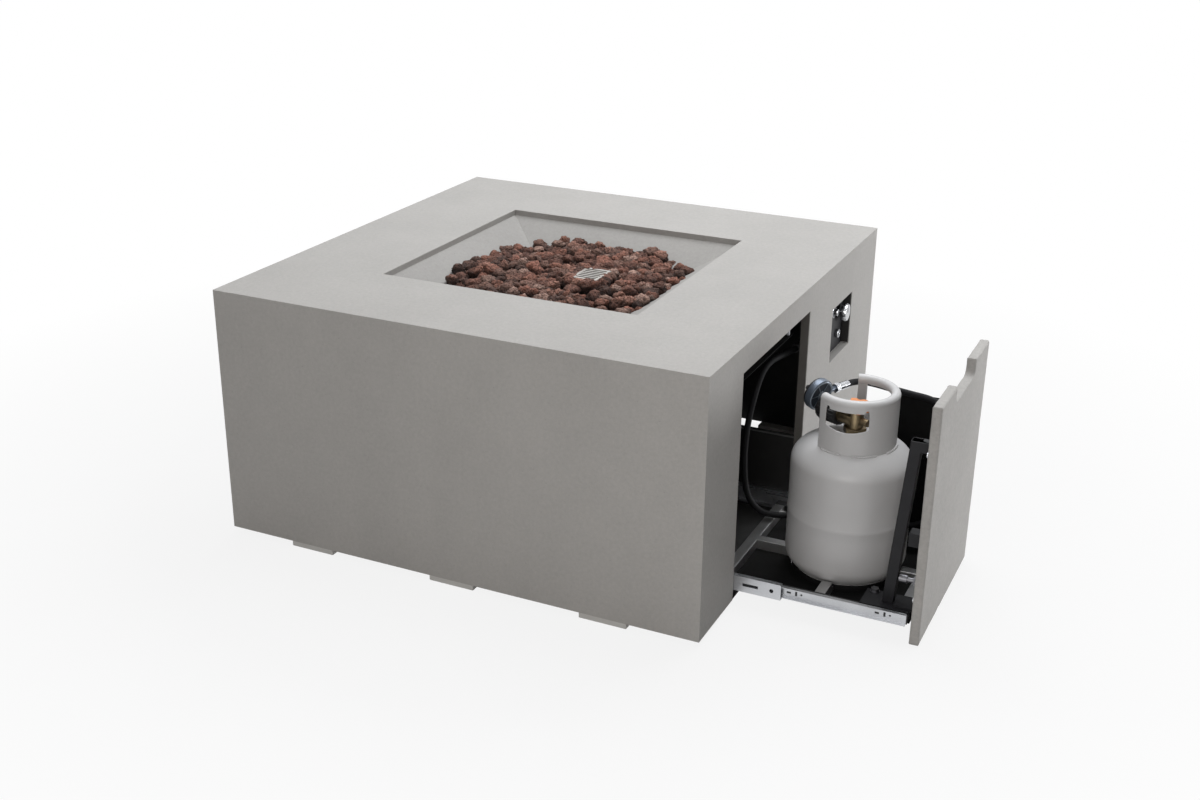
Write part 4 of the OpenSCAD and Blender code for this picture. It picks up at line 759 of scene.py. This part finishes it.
def make_tank():
    quarter = [math.pi / 2 * i / HEAD_STEPS for i in range(HEAD_STEPS + 1)]
    profile = [(TANK_R * math.sin(a), WALL_FOOT - HEAD_DEPTH * math.cos(a)) for a in quarter]
    profile += [(TANK_R + proud, z) for z, proud in TANK_WALL]
    profile += [(TANK_R * math.cos(a), WALL_HEAD + HEAD_DEPTH * math.sin(a)) for a in quarter]
    verts = []
    for r, z in profile:
        for a in circle(TANK_SIDES):
            q = max(r, TIP_R) + bead_wave(a, z)
            verts.append((TANK_CENTRE.x + q * math.cos(a), TANK_CENTRE.y + q * math.sin(a), z))
    faces = ring_faces(len(profile), TANK_SIDES) + ring_caps(len(profile), TANK_SIDES)
    obj = mesh_object("tank_shell", verts, faces)
    obj.data.materials.append(MATERIALS["tank_paint"])
    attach(obj, "drawer")
    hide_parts("tank_body")


make_tank()


# Raised rim and ribs on the regulator's face
RELIEF_TILT = math.radians(12)
RELIEF_SET = 0.006
RELIEF_R = 0.0305
RELIEF_H = 0.0019
RELIEF_LIFT = 0.0001
RELIEF_TIP = 0.0002
RELIEF_DROP = 0.0006
RELIEF_SIDES = 96
RELIEF_RINGS = 30
RIM_R = 0.0275
RIM_HALF = 0.0022
RIB_FROM = 0.008
RIB_TO = 0.0255
RIB_HALF = 0.0034
HUB_R = 0.0095
HUB_FALL = 0.001
RIB_SHARE = 0.75
HUB_SHARE = 0.6


def relief_level(r, a):
    rim = max(0.0, 1 - abs(r - RIM_R) / RIM_HALF)
    rib = 0.0
    if RIB_FROM < r < RIB_TO:
        rib = max(0.0, 1 - abs(math.sin(3 * a)) * r / RIB_HALF)
    hub = max(0.0, min(1.0, (HUB_R - r) / HUB_FALL))
    return max(rim ** 0.5, RIB_SHARE * rib ** 0.5, HUB_SHARE * hub)


def make_regulator_relief():
    axis = OUT_DIR * math.cos(RELIEF_TILT) + UP * math.sin(RELIEF_TILT)
    upright = UP * math.cos(RELIEF_TILT) - OUT_DIR * math.sin(RELIEF_TILT)
    centre = REGULATOR_CENTRE / 1000 - axis * RELIEF_SET
    verts = []
    colours = []
    for i in range(RELIEF_RINGS + 1):
        r = RELIEF_R * i / RELIEF_RINGS + RELIEF_TIP
        for a in circle(RELIEF_SIDES):
            high = RELIEF_H * relief_level(r, a) - (RELIEF_DROP if i == RELIEF_RINGS else 0)
            flat = HOSE_DIR * math.cos(a) + upright * math.sin(a)
            verts.append(centre + flat * r - axis * (high + RELIEF_LIFT))
            # The height, which the material turns into painted shade and painted highlight
            colours.append((*grey(high / RELIEF_H), 1))
    rings = RELIEF_RINGS + 1
    faces = ring_faces(rings, RELIEF_SIDES) + ring_caps(rings, RELIEF_SIDES)[:1]
    obj = mesh_object("regulator_relief", verts, faces)
    paint_points(obj, "raised", colours)
    obj.data.materials.append(MATERIALS["relief_cast_painted_light"])
    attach(obj, "drawer")


make_regulator_relief()


# Weld runs between the collar and the dome, from one angle to another in half degrees
WELD_RUNS = ((236, 268), (282, 318), (334, 372), (388, 420), (432, 460))
WELD_SIDES = 8
WELD_SIZE = 0.0022
WELD_R = 0.0787
WELD_LEVEL = 0.2938
WELD_ROUGH = 0.0007
WELD_RIPPLE = 0.0004
RIPPLES_PER_TURN = 130


def make_collar_weld():
    verts = []
    faces = []
    for start, end in WELD_RUNS:
        first = len(verts) // WELD_SIDES
        steps = (end - start) * 2
        for i in range(steps + 1):
            a = math.radians(start + 0.5 * i)
            out = Vector((math.cos(a), math.sin(a), 0))
            lump = WELD_SIZE + WELD_ROUGH * noise.noise(out * 60)
            lump += WELD_RIPPLE * math.sin(a * RIPPLES_PER_TURN)
            # The run thins out at both ends
            lump *= min(1.0, 0.3 + 0.2 * min(i, steps - i))
            centre = TANK_CENTRE + out * WELD_R + UP * WELD_LEVEL
            for b in circle(WELD_SIDES):
                verts.append(centre + lump * (out * math.cos(b) + UP * math.sin(b)))
        faces += ring_faces(steps + 1, WELD_SIDES, first, flip=True)
        faces += ring_caps(steps + 1, WELD_SIDES, first, flip=True)
    obj = mesh_object("collar_weld", verts, faces)
    obj.data.materials.append(MATERIALS["tank_paint"])
    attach(obj, "drawer")


make_collar_weld()


# Cast drawer front with slightly worn edges, in place of the CAD panel
NOTCH_HALF = 0.074
NOTCH_DEPTH = 0.030
NOTCH_R = 0.012
NOTCH_STEPS = 6
OUTLINE_STEP = 0.004
# Depth under the face and set-in of the rings that round an edge
EDGE_RINGS = ((0.0, 0.0028), (0.0012, 0.0009), (0.003, 0.0))
# Seeds of the rings' wear, from the outer face to the back
RING_SEEDS = (3, 3, 5, 7, 9, 9)
CHIP_SEED = 20
WEAR = 0.0007
WAVE_SIZE = 0.0011
WAVE_SCALE = 22
RIPPLE_SIZE = 0.0006
RIPPLE_SCALE = 90
CHIP_SIZE = 0.009
CHIP_SCALE = 35
CHIP_FROM = 0.42


def front_outline(lo, hi):
    y0, y1, z0, z1 = lo[1], hi[1], lo[2], hi[2]
    middle = (y0 + y1) / 2
    level = z1 - NOTCH_DEPTH + NOTCH_R
    corners = [(y0, z0), (y1, z0), (y1, z1), (middle + NOTCH_HALF, z1)]
    for centre, turn in ((middle + NOTCH_HALF - NOTCH_R, 0), (middle - NOTCH_HALF + NOTCH_R, -math.pi / 2)):
        for k in range(NOTCH_STEPS + 1):
            a = turn - math.pi / 2 * k / NOTCH_STEPS
            corners.append((centre + NOTCH_R * math.cos(a), level + NOTCH_R * math.sin(a)))
    corners += [(middle - NOTCH_HALF, z1), (y0, z1)]
    out = []
    for i, p in enumerate(corners):
        q = corners[(i + 1) % len(corners)]
        steps = max(1, round(math.dist(p, q) / OUTLINE_STEP))
        for k in range(steps):
            out.append((p[0] + (q[0] - p[0]) * k / steps, p[1] + (q[1] - p[1]) * k / steps))
    return out


def edge_noise(y, z, scale, seed):
    return noise.noise(Vector((y * scale, z * scale, seed)))


def edge_wear(y, z, seed):
    wave = WAVE_SIZE * edge_noise(y, z, WAVE_SCALE, seed)
    wave += RIPPLE_SIZE * edge_noise(y, z, RIPPLE_SCALE, seed)
    chip = CHIP_SIZE * max(0.0, edge_noise(y, z, CHIP_SCALE, seed + CHIP_SEED) - CHIP_FROM)
    return max(0.0, WEAR + wave) + chip


def make_drawer_front():
    lo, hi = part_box("drawer_front")
    outline = front_outline(lo, hi)
    n = len(outline)
    inward = []
    for i in range(n):
        a, b = outline[i - 1], outline[(i + 1) % n]
        d = Vector((b[0] - a[0], b[1] - a[1])).normalized()
        inward.append(Vector((-d.y, d.x)))
    rings = [(hi[0] - depth, inset) for depth, inset in EDGE_RINGS]
    rings += [(lo[0] + depth, inset) for depth, inset in reversed(EDGE_RINGS)]
    verts = []
    for (x, inset), seed in zip(rings, RING_SEEDS):
        for (y, z), d in zip(outline, inward):
            move = inset + edge_wear(y, z, seed)
            verts.append((x, y + d.x * move, z + d.y * move))
    faces = ring_caps(len(rings), n, flip=True) + ring_faces(len(rings), n, flip=True)
    obj = mesh_object("drawer_front_cast", verts, faces)
    for cap in obj.data.polygons[:2]:
        cap.use_smooth = False
    obj.data.materials.append(MATERIALS["front_concrete"])
    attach(obj, "drawer")
    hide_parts("drawer_front")


make_drawer_front()


# Floor, backdrop and light
def seen_ray(tree):
    path = tree.nodes.new("ShaderNodeLightPath")
    seen = path.outputs["Is Camera Ray"]
    for kind in ("Is Glossy Ray", "Is Transmission Ray"):
        seen = calc(tree, "MAXIMUM", seen, path.outputs[kind])
    return seen


def join_shaders(tree, fac, first, second):
    node = tree.nodes.new("ShaderNodeMixShader")
    for index, value in enumerate((fac, first.outputs[0], second.outputs[0])):
        tree.links.new(value, node.inputs[index])
    return node.outputs[0]


FLOOR_HALF = 9.0
FLOOR_LEVEL = -0.0005
FLOOR_ROUGH = 0.9
FLOOR_UNDER_SHADE = grey(0.06)
FLOOR_GREYS = (0.49, 0.53)
FLOOR_WHITE = 0.86
FADE_REACH = 4.0
FADE_SPAN = (0.22, 0.46)
UNDER_TABLE = (0.462, 0.48)
MOUTH_TO = 0.5
MOUTH_HALF = 0.19


def make_floor():
    signs = ((-1, -1), (1, -1), (1, 1), (-1, 1))
    corners = [(sx * FLOOR_HALF, sy * FLOOR_HALF, FLOOR_LEVEL) for sx, sy in signs]
    floor = mesh_object("floor", corners, [(0, 1, 2, 3)], False)
    material, tree, shader, coords = start_material("floor")
    shader.inputs["Roughness"].default_value = FLOOR_ROUGH
    # The floor is painted dark as shade under the table and in the mouth of the drawer bay
    at = place_of(tree, coords)
    reach = calc(tree, "MAXIMUM", calc(tree, "ABSOLUTE", at[0]), calc(tree, "ABSOLUTE", at[1]))
    under = levels(tree, reach, 1.0, 0.0, span=UNDER_TABLE)
    mouth = in_box(tree, at, (0, BAY_MIDDLE - MOUTH_HALF, -1), (MOUTH_TO, BAY_MIDDLE + MOUTH_HALF, 1))
    open_air = calc(tree, "SUBTRACT", 1.0, calc(tree, "MAXIMUM", under, mouth))
    tone = levels(tree, noise_node(tree, coords, 3.0), *FLOOR_GREYS)
    tree.links.new(mix(tree, open_air, FLOOR_UNDER_SHADE, tone), shader.inputs["Base Color"])
    # Elsewhere, seen directly or in a reflection, it is near white and keeps a soft shadow
    white = tree.nodes.new("ShaderNodeEmission")
    white.inputs["Strength"].default_value = 1.0
    away = tree.nodes.new("ShaderNodeVectorMath")
    away.operation = "LENGTH"
    tree.links.new(coords, away.inputs[0])
    distance = calc(tree, "MULTIPLY", away.outputs["Value"], 1 / FADE_REACH)
    fade = levels(tree, distance, FLOOR_WHITE, 1.0, span=FADE_SPAN)
    seen = calc(tree, "MULTIPLY", calc(tree, "MULTIPLY", seen_ray(tree), fade), open_air)
    tree.links.new(join_shaders(tree, seen, shader, white), tree.nodes["Material Output"].inputs[0])
    floor.data.materials.append(material)


# White where it is seen, and a soft light from all round that is dim towards the open drawer
WORLD_STRENGTH = 0.38
DIM_TOWARDS = (0.95, -0.3, 0)
DIMMEST = 0.03
DIM_SPAN = (0.0, 0.65)


def make_world():
    world = bpy.data.worlds.new("studio")
    scene.world = world
    world.use_nodes = True
    tree = world.node_tree
    tree.nodes.clear()
    out = tree.nodes.new("ShaderNodeOutputWorld")
    soft = tree.nodes.new("ShaderNodeBackground")
    soft.inputs["Strength"].default_value = WORLD_STRENGTH
    side = tree.nodes.new("ShaderNodeVectorMath")
    side.operation = "DOT_PRODUCT"
    side.inputs[1].default_value = DIM_TOWARDS
    tree.links.new(tree.nodes.new("ShaderNodeTexCoord").outputs["Generated"], side.inputs[0])
    tree.links.new(levels(tree, side.outputs["Value"], 1.0, DIMMEST, span=DIM_SPAN), soft.inputs["Color"])
    white = tree.nodes.new("ShaderNodeBackground")
    white.inputs["Color"].default_value = (1, 1, 1, 1)
    white.inputs["Strength"].default_value = 1.0
    tree.links.new(join_shaders(tree, seen_ray(tree), soft, white), out.inputs[0])


LAMPS = {
    "overhead": dict(place=(0.3, 0.9, 3.2), aim=(0, 0, 0.3), power=107, width=2.6,
                     tint=(0.96, 0.98, 1.0)),
    "right_side": dict(place=(3.0, 1.5, 0.5), aim=(0.5, 0, 0.3), power=39, width=0.7,
                       tint=(0.985, 0.99, 1.0)),
    "front": dict(place=(1.0, -3.0, 1.2), aim=(0.4, -0.2, 0.25), power=25, width=1.4,
                  tint=(1.0, 0.965, 0.93)),
}


def make_lamp(name, place, aim, power, width, tint):
    data = bpy.data.lights.new(name, "AREA")
    data.shape = "SQUARE"
    data.size = width
    data.energy = power
    data.color = tint
    obj = bpy.data.objects.new(name, data)
    scene.collection.objects.link(obj)
    obj.location = place
    obj.rotation_euler = (Vector(aim) - Vector(place)).to_track_quat("-Z", "Y").to_euler()


make_floor()
make_world()
for lamp_name, lamp in LAMPS.items():
    make_lamp(lamp_name, **lamp)

scene.view_settings.view_transform = "Standard"
